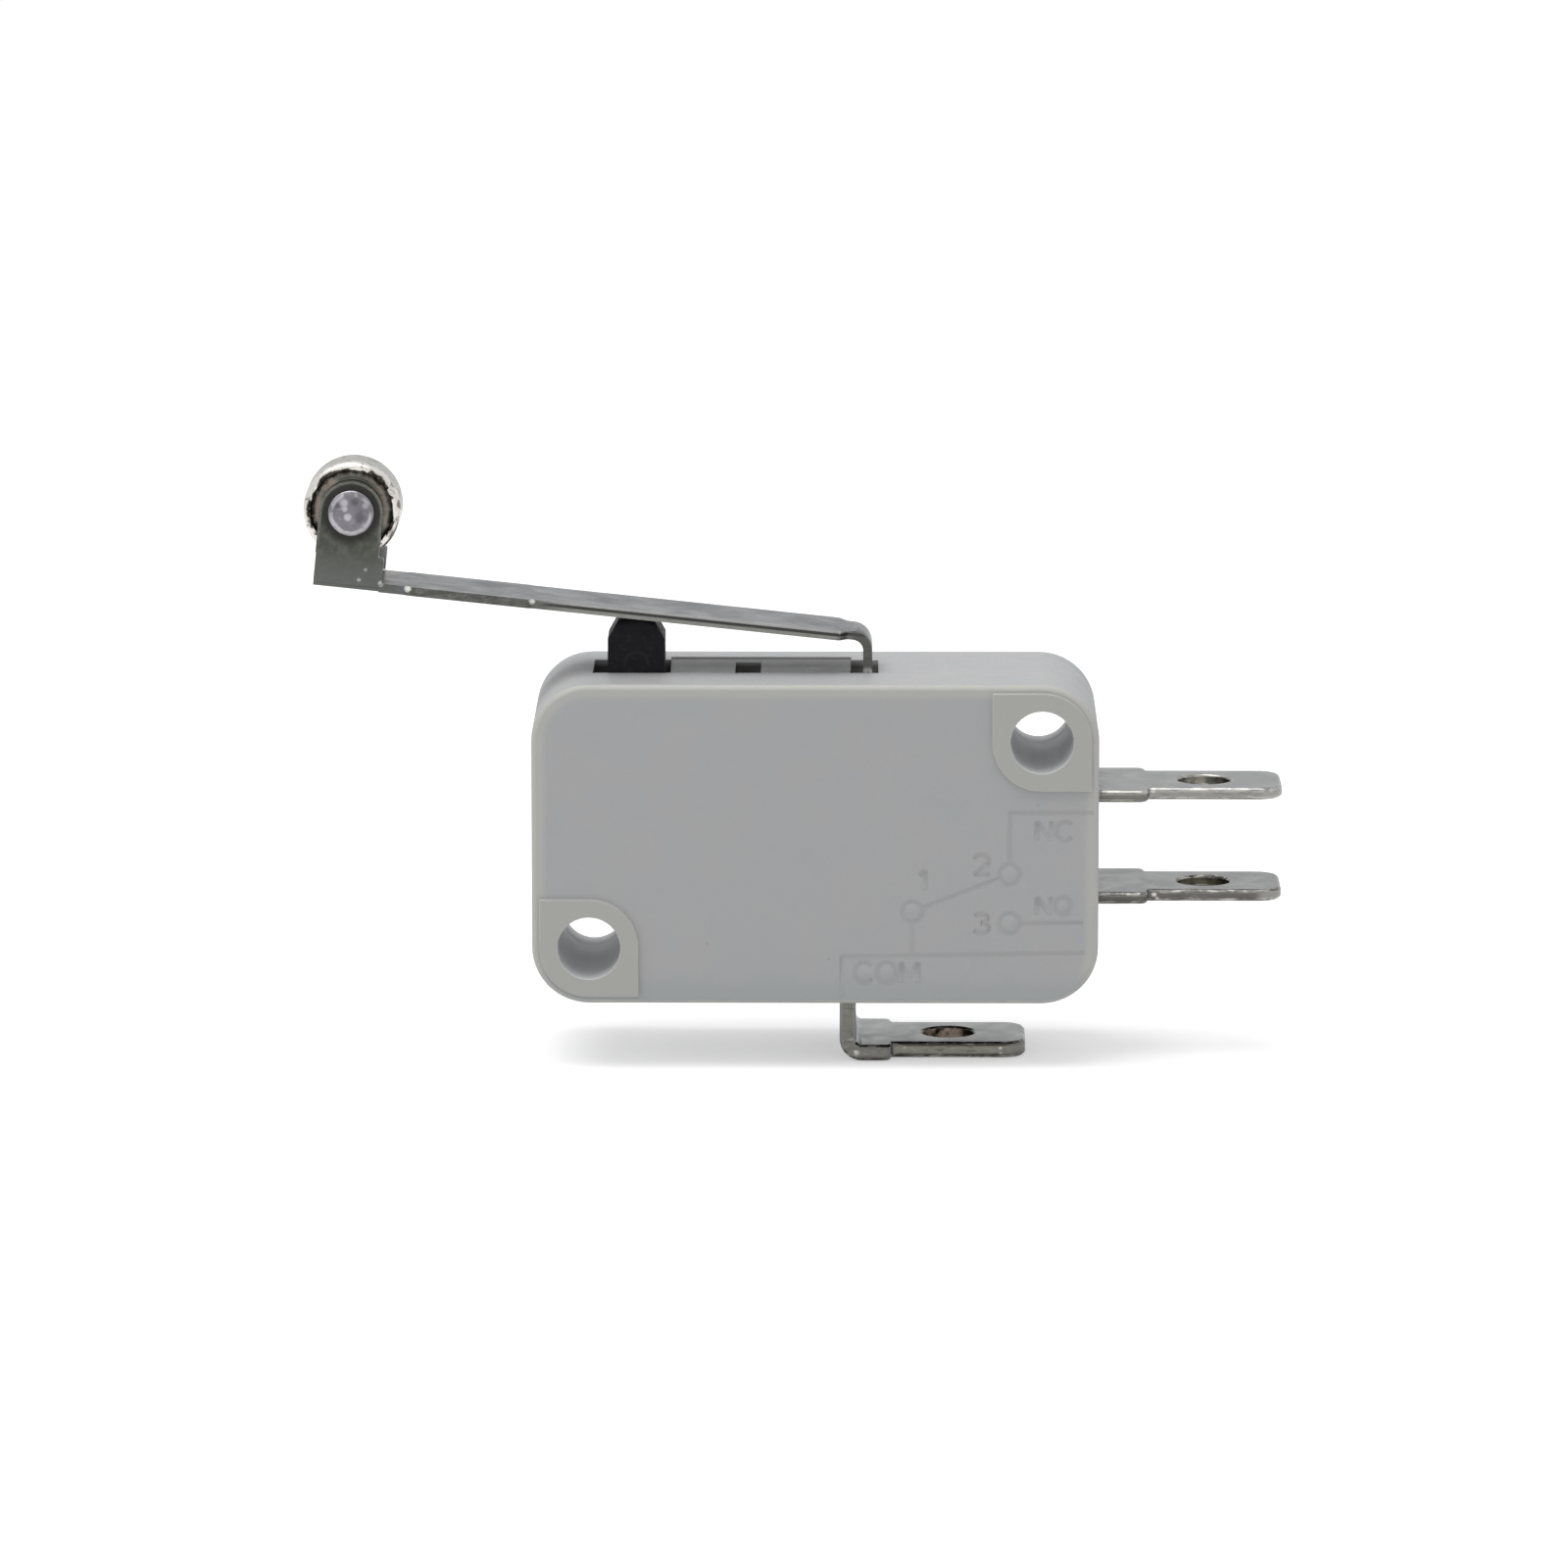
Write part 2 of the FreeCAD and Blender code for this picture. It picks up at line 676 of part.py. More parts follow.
def dome(radius, height, x, y, z, way):
    """Return a shallow dome whose flat side lies at y and whose crown points along way."""
    rim = height * 0.35
    rise = height - rim
    sphere_radius = (radius ** 2 + rise ** 2) / (2 * rise)
    edges = [
        Part.LineSegment(Vector(0, 0, 0), Vector(radius, 0, 0)).toShape(),
        Part.LineSegment(Vector(radius, 0, 0), Vector(radius, 0, rim)).toShape(),
        Part.Arc(Vector(radius, 0, rim), dome_middle(radius, rim, rise, sphere_radius),
                 Vector(0, 0, height)).toShape(),
        Part.LineSegment(Vector(0, 0, height), Vector(0, 0, 0)).toShape(),
    ]
    solid = Part.Face(Part.Wire(edges)).revolve(Vector(0, 0, 0), Vector(0, 0, 1), 360)
    turn = FreeCAD.Rotation(Vector(0, 0, 1), Vector(0, way, 0))
    solid.Placement = FreeCAD.Placement(Vector(x, y, z), turn)
    return solid


def dome_middle(radius, rim, rise, sphere_radius):
    """Return the middle point of a dome's arc, in its own upright frame."""
    centre_z = rim + rise - sphere_radius
    half_angle = math.asin(radius / sphere_radius) / 2
    x = sphere_radius * math.sin(half_angle)
    z = centre_z + sphere_radius * math.cos(half_angle)
    return Vector(x, 0, z)


def make_side_terminal(z):
    """Stamped side terminal: push-on tab, wide base in the wall, contact end inside."""
    tip_x = right + tab_length
    base_end = right + tab_base_length
    half = tab_width / 2
    base = tab_base_width / 2
    inner = inner_tab_width / 2
    upper = [
        (inner_tab_end_x, inner, 0.5),
        (cavity_right, inner, 0),
        (cavity_right, base, 0),
        (base_end, base, tab_step_radius),
        (base_end, half, tab_step_radius / 4),
        (tip_x, half, tab_tip_radius),
    ]
    lower = [(x, -y, r) for x, y, r in reversed(upper)]
    z0 = z - tab_thickness / 2
    z1 = z + tab_thickness / 2
    tab = prism_z(upper + lower, z0, z1)
    tab = bevel_tab(tab, z0, z1, base_end + tab_step_radius, tip_x)
    tab = tab.cut(tab_hole(tip_x - tab_hole_to_tip, z0, z1))
    shank = rivet_shank_diameter / 2 + press_clearance
    return tab.cut(rod_z(shank, contact_x, 0, z0 - 1, z1 + 1))


def bevel_tab(tab, z0, z1, x0, x1):
    """Bevel the upper and lower edges of a tab between x0 and x1."""
    chosen = []
    for z in (z0, z1):
        for edge in edges_on_plane(tab, "Z", z):
            box = edge.BoundBox
            if box.XMax > x0 and box.XMax < x1 + 1e-4:
                chosen.append(edge)
    return tab.makeChamfer(tab_bevel, chosen)


def tab_hole(x, z0, z1):
    """Return the hole tool of a tab, with both rims bevelled."""
    radius = tab_hole_diameter / 2
    bevel = tab_hole_bevel
    upper_rim = Part.makeCone(radius, radius + bevel, bevel, Vector(x, 0, z1 - bevel))
    lower_rim = Part.makeCone(radius + bevel, radius, bevel, Vector(x, 0, z0))
    return rod_z(radius, x, 0, z0 - 1, z1 + 1).fuse([upper_rim, lower_rim])


def make_com_terminal():
    """Stamped common terminal: tab under the housing, leg through the wall, inner foot."""
    foot_z = cavity_floor + com_thickness / 2
    z0 = com_blade_z - com_thickness / 2
    z1 = com_blade_z + com_thickness / 2
    base = tab_base_width / 2
    inner = inner_tab_width / 2
    half = tab_width / 2
    profile = [
        (com_foot_end_x, foot_z),
        (com_leg_x, foot_z),
        (com_leg_x, com_blade_z),
        (com_tip_x, com_blade_z),
    ]
    sheet = bent_strip(profile, com_bend_radius, com_thickness, tab_base_width)
    base_end = com_leg_x + com_base_length
    start = com_leg_x - com_thickness
    upper = [
        (start, base, 0),
        (base_end, base, tab_step_radius),
        (base_end, half, tab_step_radius / 4),
        (com_tip_x, half, tab_tip_radius),
    ]
    lower = [(x, -y, r) for x, y, r in reversed(upper)]
    outside = prism_z(upper + lower, z0 - 1, cavity_floor)
    foot = block(com_foot_end_x - 1, com_leg_x + com_thickness, -inner, inner,
                 cavity_floor, foot_z + com_thickness)
    terminal = sheet.common(outside).fuse(sheet.common(foot)).removeSplitter()
    terminal = bevel_tab(terminal, z0, z1, base_end + tab_step_radius, com_tip_x)
    terminal = terminal.cut(tab_hole(com_tip_x - tab_hole_to_tip, z0, z1))
    head = bracket_rivet_head_diameter / 2 + press_clearance
    shank = bracket_rivet_diameter / 2 + press_clearance
    counterbore = rod_z(head, bracket_rivet_x, 0, cavity_floor - 1,
                        cavity_floor + bracket_rivet_head_height)
    hole = rod_z(shank, bracket_rivet_x, 0, cavity_floor, cavity_floor + 2 * com_thickness)
    return terminal.cut([counterbore, hole])


def make_pivot_bracket():
    """Bent bracket on the common terminal: two arms with a pivot notch on each side."""
    base_z = cavity_floor + com_thickness + bracket_thickness / 2
    arm_top = blade_pivot_z + bracket_top_above_pivot
    profile = [(bracket_base_end_x, base_z), (bracket_x, base_z), (bracket_x, arm_top)]
    bracket = bent_strip(profile, bracket_bend_radius, bracket_thickness, inner_tab_width)
    window_foot = base_z + bracket_thickness / 2 + bracket_bend_radius
    window = block(bracket_x - 1, bracket_x + 1, -arm_inner_y, arm_inner_y,
                   window_foot, arm_top + 1)
    tools = [window]
    half_height = notch_depth * math.tan(math.radians(notch_half_angle))
    faces = [
        (bracket_x - bracket_thickness / 2, 1, inner_pivot_z),
        (bracket_x + bracket_thickness / 2, -1, blade_pivot_z),
    ]
    for face_x, way, z in faces:
        corners = [
            (face_x + way * notch_depth, z, 0),
            (face_x - way * notch_depth, z + 2 * half_height, 0),
            (face_x - way * notch_depth, z - 2 * half_height, 0),
        ]
        tools.append(prism_y(corners, -inner_tab_width, inner_tab_width))
    shank = bracket_rivet_diameter / 2 + press_clearance
    tools.append(rod_z(shank, bracket_rivet_x, 0, cavity_floor, base_z + 1))
    return bracket.cut(tools)


def make_bracket_rivet():
    """Rivet that joins the bracket to the common terminal, flush below."""
    seat = cavity_floor + com_thickness + bracket_thickness
    head = bracket_rivet_head_diameter / 2
    height = bracket_rivet_head_height
    shank = rod_z(bracket_rivet_diameter / 2, bracket_rivet_x, 0, cavity_floor, seat + height / 2)
    lower = rod_z(head, bracket_rivet_x, 0, cavity_floor, cavity_floor + height)
    upper = rod_z(head, bracket_rivet_x, 0, seat, seat + height)
    return shank.fuse([lower, upper]).removeSplitter()


def make_fixed_contact(tab_z, way):
    """Contact rivet on a side terminal; way is -1 when its face looks down."""
    face = tab_z + way * tab_thickness / 2
    rear = tab_z - way * tab_thickness / 2
    radius = fixed_contact_diameter / 2
    head_profile = [
        (0, 0, 0),
        (radius, 0, 0),
        (radius, fixed_contact_height, fixed_contact_height / 4),
        (0, fixed_contact_height, 0),
    ]
    head = turned(head_profile, Vector(contact_x, 0, face), Vector(0, 0, way))
    tail_profile = [
        (0, 0, 0),
        (rivet_tail_diameter / 2, 0, 0),
        (rivet_tail_diameter / 2, rivet_tail_height, rivet_tail_height / 2),
        (0, rivet_tail_height, 0),
    ]
    tail = turned(tail_profile, Vector(contact_x, 0, rear), Vector(0, 0, -way))
    low = min(face, rear) - 0.05
    shank = rod_z(rivet_shank_diameter / 2, contact_x, 0, low, low + tab_thickness + 0.1)
    return head.fuse([shank, tail]).removeSplitter()


def on_blade(shape):
    """Turn a shape from the level blade to the blade's rest position."""
    shape.rotate(Vector(blade_pivot_x, 0, blade_pivot_z), Vector(0, 1, 0), -blade_angle)
    return shape


def make_moving_blade():
    """Contact blade: two legs with knife ends, a spring hole and the contact end."""
    end_x = contact_x + blade_overhang
    strip = bent_strip([(blade_pivot_x, blade_pivot_z), (end_x, blade_pivot_z)],
                       0, blade_thickness, inner_tab_width, knife_length)
    wide = inner_tab_width / 2
    narrow = blade_contact_width / 2
    waist_x = spring_hole_x + 1.2
    upper = [
        (blade_pivot_x - 1, wide, 0),
        (spring_hole_x, wide, 1.0),
        (waist_x, narrow, 0.5),
        (end_x, narrow, 0.8),
    ]
    lower = [(x, -y, r) for x, y, r in reversed(upper)]
    plan = prism_z(upper + lower, blade_pivot_z - 1, blade_pivot_z + 1)
    window_end = spring_hole_x - spring_mean_radius
    window_corners = [
        (blade_pivot_x - 2, -arm_inner_y, 0),
        (window_end, -arm_inner_y, 0.5),
        (window_end, arm_inner_y, 0.5),
        (blade_pivot_x - 2, arm_inner_y, 0),
    ]
    window = prism_z(window_corners, blade_pivot_z - 1, blade_pivot_z + 1)
    z0 = blade_pivot_z - 1
    z1 = blade_pivot_z + 1
    shank = rivet_shank_diameter / 2 + press_clearance
    blade = strip.common(plan).cut([
        window,
        rod_z(spring_hole_diameter / 2, spring_hole_x, 0, z0, z1),
        rod_z(shank, contact_x, 0, z0, z1),
    ])
    return on_blade(blade)


def make_moving_contact():
    """Double-headed contact rivet with a crowned face on each side of the blade."""
    radius = moving_contact_diameter / 2
    seat = blade_thickness / 2
    centre = Vector(contact_x, 0, blade_pivot_z)
    rim = contact_crown_radius - math.sqrt(contact_crown_radius ** 2 - radius ** 2)
    body = rod_z(radius, contact_x, 0, blade_pivot_z - moving_contact_half,
                 blade_pivot_z + moving_contact_half)
    for way in (-1, 1):
        offset = way * (moving_contact_half - contact_crown_radius)
        sphere = Part.makeSphere(contact_crown_radius, centre + Vector(0, 0, offset))
        body = body.common(sphere)
    waist = rod_z(radius + 1, contact_x, 0, blade_pivot_z - seat, blade_pivot_z + seat)
    shank = rod_z(rivet_shank_diameter / 2, contact_x, 0, blade_pivot_z - seat - rim / 2,
                  blade_pivot_z + seat + rim / 2)
    return on_blade(body.cut(waist).fuse(shank).removeSplitter())


def spring_hook_z():
    """Return the height of the inner lever's mid plane at its spring hole."""
    run = inner_lever_knee_x - inner_lever_tip_x
    rise = inner_lever_tip_z - inner_lever_knee_z
    return inner_lever_knee_z + (inner_lever_knee_x - spring_hook_x) * rise / run


def make_inner_lever():
    """Bent lever under the plunger: two legs with knife ends and a plate with a hole."""
    points = [
        (inner_pivot_x, inner_pivot_z),
        (inner_lever_knee_x, inner_lever_knee_z),
        (inner_lever_tip_x, inner_lever_tip_z),
    ]
    lever = bent_strip(points, inner_lever_bend_radius, inner_lever_thickness,
                       inner_tab_width, knife_length)
    window_start = inner_lever_knee_x + inner_lever_window_gap
    window = block(window_start, inner_pivot_x + 1, -arm_inner_y, arm_inner_y,
                   inner_pivot_z - 1, inner_lever_tip_z + 1)
    hook_z = spring_hook_z()
    hole = rod_z(spring_hole_diameter / 2, spring_hook_x, 0, hook_z - 1, hook_z + 1)
    return lever.cut([window, hole])


def spring_points(start, end):
    """Return the wire's path: a hook in the lever, the coil, and a hook in the blade."""
    along = (end - start).normalize()
    side = Vector(0, 1, 0)
    up = side.cross(along) * -1
    length = (end - start).Length
    radius = spring_mean_radius
    points = []
    for degrees in (-60, -30, 0, 30, 60, 90):
        angle = math.radians(degrees)
        reach = radius * (1 - math.cos(angle))
        points.append(start + along * reach + up * (radius * math.sin(angle)))
    coil_start = (length - spring_pitch * spring_turns) / 2
    steps = 12
    for i in range(1, steps * spring_turns):
        angle = 2 * math.pi * i / steps
        reach = coil_start + spring_pitch * i / steps
        offset = side * (radius * math.sin(angle)) + up * (radius * math.cos(angle))
        points.append(start + along * reach + offset)
    for degrees in (90, 60, 30, 0, -30, -60):
        angle = math.radians(degrees)
        reach = length - radius * (1 - math.cos(angle))
        points.append(start + along * reach + up * (radius * math.sin(angle)))
    return points


def make_coil_spring():
    """Tension spring between the inner lever and the blade, wound from one wire."""
    hook = Vector(spring_hook_x, 0, spring_hook_z())
    hole = on_blade(Part.Vertex(Vector(spring_hole_x, 0, blade_pivot_z))).Point
    pull = (hole - hook).normalize()
    play = (spring_hole_diameter - spring_wire_diameter) / 2 - 2 * running_clearance
    points = spring_points(hook + pull * play, hole - pull * play)
    curve = Part.BSplineCurve()
    curve.interpolate(points)
    spine = Part.Wire(curve.toShape())
    way = curve.tangent(curve.FirstParameter)[0]
    section = Part.Wire(Part.makeCircle(spring_wire_diameter / 2, points[0], way))
    return spine.makePipeShell([section], True, True)


def build():
    """Make every piece and return them by name."""
    return {
        "case": make_case(),
        "cover": make_cover(),
        "plunger": make_plunger(),
        "actuator_lever": make_lever(),
        "roller": make_roller(),
        "roller_pin": make_roller_pin(),
        "nc_terminal": make_side_terminal(nc_tab_z),
        "no_terminal": make_side_terminal(no_tab_z),
        "com_terminal": make_com_terminal(),
        "nc_contact": make_fixed_contact(nc_tab_z, -1),
        "no_contact": make_fixed_contact(no_tab_z, 1),
        "pivot_bracket": make_pivot_bracket(),
        "bracket_rivet": make_bracket_rivet(),
        "inner_lever": make_inner_lever(),
        "moving_blade": make_moving_blade(),
        "moving_contact": make_moving_contact(),
        "coil_spring": make_coil_spring(),
    }


os.makedirs("parts", exist_ok=True)
for name, shape in build().items():
    shape.exportStep(os.path.join("parts", name + ".step"))
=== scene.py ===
"""Roller lever micro switch: the looks of each piece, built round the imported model.

Lengths are written in millimetres and turned into metres where a mesh or a
material needs them. The frame is the model's own: X runs along the housing
towards the side terminals, Z runs up to the push button and the lever, and
the marked face looks along -Y.
"""

import logging
import math
from dataclasses import dataclass, field
from enum import Enum
from typing import Callable

import bpy
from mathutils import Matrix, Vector

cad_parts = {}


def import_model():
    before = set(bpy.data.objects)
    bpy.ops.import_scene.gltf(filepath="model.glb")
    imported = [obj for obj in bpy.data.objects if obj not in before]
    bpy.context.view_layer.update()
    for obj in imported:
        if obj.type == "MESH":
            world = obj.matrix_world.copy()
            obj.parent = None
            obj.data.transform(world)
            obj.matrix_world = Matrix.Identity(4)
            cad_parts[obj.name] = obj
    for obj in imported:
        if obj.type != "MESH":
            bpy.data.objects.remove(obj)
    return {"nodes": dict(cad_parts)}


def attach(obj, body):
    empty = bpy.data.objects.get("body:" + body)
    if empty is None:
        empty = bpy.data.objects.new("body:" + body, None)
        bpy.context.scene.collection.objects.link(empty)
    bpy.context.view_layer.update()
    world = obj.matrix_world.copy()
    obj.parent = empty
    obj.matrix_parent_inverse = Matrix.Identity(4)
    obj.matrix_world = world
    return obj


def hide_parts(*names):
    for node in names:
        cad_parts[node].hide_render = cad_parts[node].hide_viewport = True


Colour = tuple[float, float, float]
Point = tuple[float, float]
Place = tuple[float, float, float]
Socket = bpy.types.NodeSocket
Face = bpy.types.MeshPolygon
Piece = bpy.types.Object
Feed = Socket | float | tuple[float, ...]

MM = 0.001
X, Y, Z = range(3)
WHITE: Colour = (1.0, 1.0, 1.0)

# Places and directions of the model, in millimetres
FACE_Y = -4.95
TOP_Z = 13.1
PIN: Place = (-11.652, 0.0, 21.135)
LEVER_SLOPE = math.radians(6.0)
LEVER_UP: Place = (math.sin(LEVER_SLOPE), 0.0, math.cos(LEVER_SLOPE))
LEVER_ALONG: Place = (math.cos(LEVER_SLOPE), 0.0, -math.sin(LEVER_SLOPE))

# Limits for working on the meshes
WELD = 2e-7
SAME_POINT = 1e-6
FACING = 0.5
ROUND_SEGMENTS = 2
FLAT_ANGLE = math.radians(0.4)
SHARP_ANGLE = math.radians(40.0)
SMOOTH_ANGLE = math.radians(32.0)
FLAT_WEIGHT = 60

# Habits of the patterns
WAVE_TO_RING = 1 / 20
SPOT_CORE = 0.4

log = logging.getLogger("micro_switch")


class Body(Enum):
    """The rigid groups that move as one."""

    HOUSING = "housing"
    LEVER = "lever"
    ROLLER = "roller"
    PLUNGER = "plunger"
    INNER_LEVER = "inner_lever"


class Mark(Enum):
    """Face values that the finishes read from the meshes."""

    # Faces made by the rounding; most finishes paint them lighter as a painted highlight.
    ROUNDED_EDGE = "rounded_edge"
    ENGRAVED = "engraved"
    SHEARED = "sheared"
    BORE = "bore"
    CHAMFER = "chamfer"
    HOLLOW = "hollow"
    GROOVE = "groove"


# Shader bench


class Tree:
    """Sets out and joins the nodes of one node tree."""

    def __init__(self, tree: bpy.types.NodeTree) -> None:
        """Clears the tree, so that it holds only what is set out here."""
        self.tree = tree
        self.tree.nodes.clear()

    def feed(self, target: Socket, value: Feed) -> None:
        """Links a socket, or sets it.

        Args:
            target: the socket that is fed.
            value: another socket, a number, a vector or a colour.
        """
        if isinstance(value, Socket):
            self.tree.links.new(value, target)
        elif target.type == "RGBA":
            target.default_value = (*value, 1.0)
        else:
            target.default_value = value

    def node(self, kind: str, *feeds: Feed, operation: str = "", **named: Feed) -> bpy.types.Node:
        """Adds a node.

        Args:
            kind: the node's type.
            feeds: what its first inputs get, in their order.
            operation: what a maths node does.
            named: what its inputs with these names get.

        Returns:
            The node.
        """
        node = self.tree.nodes.new(kind)
        if operation:
            node.operation = operation
        for socket, value in zip(node.inputs, feeds):
            self.feed(socket, value)
        for name, value in named.items():
            self.feed(node.inputs[name], value)
        return node

    def sum(self, operation: str, first: Feed, second: Feed) -> Socket:
        """Joins two values by ADD, MULTIPLY or MAXIMUM."""
        return self.node("ShaderNodeMath", first, second, operation=operation).outputs[0]

    def times(self, first: Feed, second: Feed) -> Socket:
        """Multiplies two values."""
        return self.sum("MULTIPLY", first, second)


class Bench(Tree):
    """Sets out the nodes of one material; every length that it takes is in millimetres."""

    def __init__(self, name: str) -> None:
        """Starts a material of this name with a bare surface shader."""
        self.material = bpy.data.materials.new(name)
        self.material.use_nodes = True
        super().__init__(self.material.node_tree)
        self.shader = self.node("ShaderNodeBsdfPrincipled")
        self.node("ShaderNodeOutputMaterial", self.shader.outputs[0])
        self.coords = self.node("ShaderNodeTexCoord").outputs["Object"]

    def set(self, **values: Feed) -> None:
        """Feeds the shader's sockets, with underscores for spaces in their names."""
        for name, value in values.items():
            self.feed(self.shader.inputs[name.replace("_", " ")], value)

    def vector(self, operation: str, *feeds: Feed) -> Socket:
        """Adds a vector sum; LENGTH and DOT_PRODUCT give a number and the others a vector."""
        node = self.node("ShaderNodeVectorMath", *feeds, operation=operation)
        return node.outputs["Value" if operation in ("LENGTH", "DOT_PRODUCT") else "Vector"]

    def place(self, centre: Place = (0, 0, 0), stretch: Place = (1, 1, 1)) -> Socket:
        """Moves and stretches the pattern's space.

        Args:
            centre: the point that becomes the pattern's origin.
            stretch: the factors that the pattern is squeezed by along each axis.

        Returns:
            The vector socket of the new space.
        """
        shift = self.vector("SUBTRACT", self.coords, tuple(c * MM for c in centre))
        return self.node("ShaderNodeMapping", Vector=shift, Scale=stretch).outputs[0]

    def noise(self, size: float, detail: float = 2.0, rough: float = 0.5, wobble: float = 0.0,
              space: Socket | None = None) -> Socket:
        """Adds a noise pattern.

        Args:
            size: the width of its blotches.
            detail: how many finer layers it has.
            rough: how strong those layers are.
            wobble: how far it is distorted.
            space: the space that it lies in, or the object's own.

        Returns:
            The value socket.
        """
        return self.node("ShaderNodeTexNoise", Vector=space or self.coords, Scale=1 / (size * MM), Detail=detail,
                         Roughness=rough, Distortion=wobble).outputs[0]

    def cells(self, size: float) -> Socket:
        """Measures the distance to the nearest of a scatter of points that lie size apart."""
        return self.node("ShaderNodeTexVoronoi", Vector=self.coords, Scale=1 / (size * MM)).outputs["Distance"]

    def rings(self, centre: Place, pitch: float) -> Socket:
        """Adds turning rings about an axis along Y.

        Args:
            centre: a point on the axis.
            pitch: the width of a ring.

        Returns:
            The value socket.
        """
        wave = self.node("ShaderNodeTexWave", Vector=self.place(centre), Scale=WAVE_TO_RING / (pitch * MM),
                         Distortion=1.2, Detail=2.0)
        wave.wave_type = "RINGS"
        wave.rings_direction = "Y"
        return wave.outputs["Fac"]

    def radius(self, centre: Place) -> Socket:
        """Measures the distance from an axis along Y through centre."""
        return self.vector("LENGTH", self.place(centre, (1 / MM, 0, 1 / MM)))

    def along(self, axis: int) -> Socket:
        """Reads the coordinate along X, Y or Z."""
        return self.node("ShaderNodeSeparateXYZ", self.place(stretch=(1 / MM,) * 3)).outputs[axis]

    def height(self, point: Place, normal: Place) -> Socket:
        """Measures the distance from the plane through point, up along normal."""
        return self.vector("DOT_PRODUCT", self.place(point), tuple(Vector(normal).normalized() / MM))

    def inset(self, centre: Place, half: Point, corner: float) -> Socket:
        """Measures how far inside a rounded rectangle a point lies, seen along Y.

        Args:
            centre: the rectangle's middle.
            half: half its length and height.
            corner: its corner radius.

        Returns:
            The distance from its outline.
        """
        folded = self.vector("ABSOLUTE", self.place(centre, (1 / MM, 0, 1 / MM)))
        beyond = self.vector("SUBTRACT", folded, (half[0] - corner, 0, half[1] - corner))
        outside = self.vector("LENGTH", self.vector("MAXIMUM", beyond, (0, 0, 0)))
        return self.sum("ADD", self.times(outside, -1.0), corner)

    def spot(self, point: Place, reach: float) -> Socket:
        """Gives 1 at a point and 0 beyond reach from it."""
        return self.span(self.vector("LENGTH", self.place(point, (1 / MM,) * 3)), reach, reach * SPOT_CORE)

    def mark(self, name: Mark) -> Socket:
        """Reads a face value of the mesh."""
        node = self.node("ShaderNodeAttribute")
        node.attribute_name = name.value
        return node.outputs["Fac"]

    def span(self, value: Socket, start: float, end: float, low: float = 0.0, high: float = 1.0) -> Socket:
        """Maps a value from one range to another, smoothly and held at the ends.

        Args:
            value: the value.
            start: the value that gives low.
            end: the value that gives high.
            low: the first result.
            high: the last result.

        Returns:
            The mapped value socket.
        """
        node = self.node("ShaderNodeMapRange", value, start, end, low, high)
        node.interpolation_type = "SMOOTHSTEP"
        return node.outputs[0]

    def blend(self, factor: Socket, first: Feed, second: Feed) -> Socket:
        """Mixes two colours.

        Args:
            factor: 0 gives the first and 1 the second.
            first: a colour or a colour socket.
            second: a colour or a colour socket.

        Returns:
            The mixed colour.
        """
        node = self.node("ShaderNodeMix", factor)
        node.data_type = "RGBA"
        for name, value in (("A", first), ("B", second)):
            self.feed(next(i for i in node.inputs if i.name == name and i.type == "RGBA"), value)
        return next(o for o in node.outputs if o.type == "RGBA")

    def coats(self, colour: Feed, *coats: tuple[Socket, Feed]) -> Feed:
        """Lays coats of colour over each other.

        Args:
            colour: the ground.
            coats: how thick each coat is, from 0 to 1, and its colour.

        Returns:
            The colour with all its coats.
        """
        for factor, coat in coats:
            colour = self.blend(factor, colour, coat)
        return colour

    def relief(self, *layers: tuple[Socket, float]) -> None:
        """Stacks bumps on the surface: pairs of a height socket and its depth."""
        normal = None
        for height, depth in layers:
            bump = self.node("ShaderNodeBump", Strength=1.0, Distance=depth * MM, Height=height)
            if normal is not None:
                self.feed(bump.inputs["Normal"], normal)
            normal = bump.outputs[0]
        self.set(Normal=normal)


# Finishes


@dataclass(frozen=True)
class Finish:
    """The look of one material."""

    name: str

    def paint(self, b: Bench) -> None:
        """Sets out the nodes.

        Args:
            b: the material's bench.
        """
        raise NotImplementedError

    def make(self) -> bpy.types.Material:
        """Builds the material.

        Returns:
            The finished material.
        """
        b = Bench(self.name)
        self.paint(b)
        return b.material


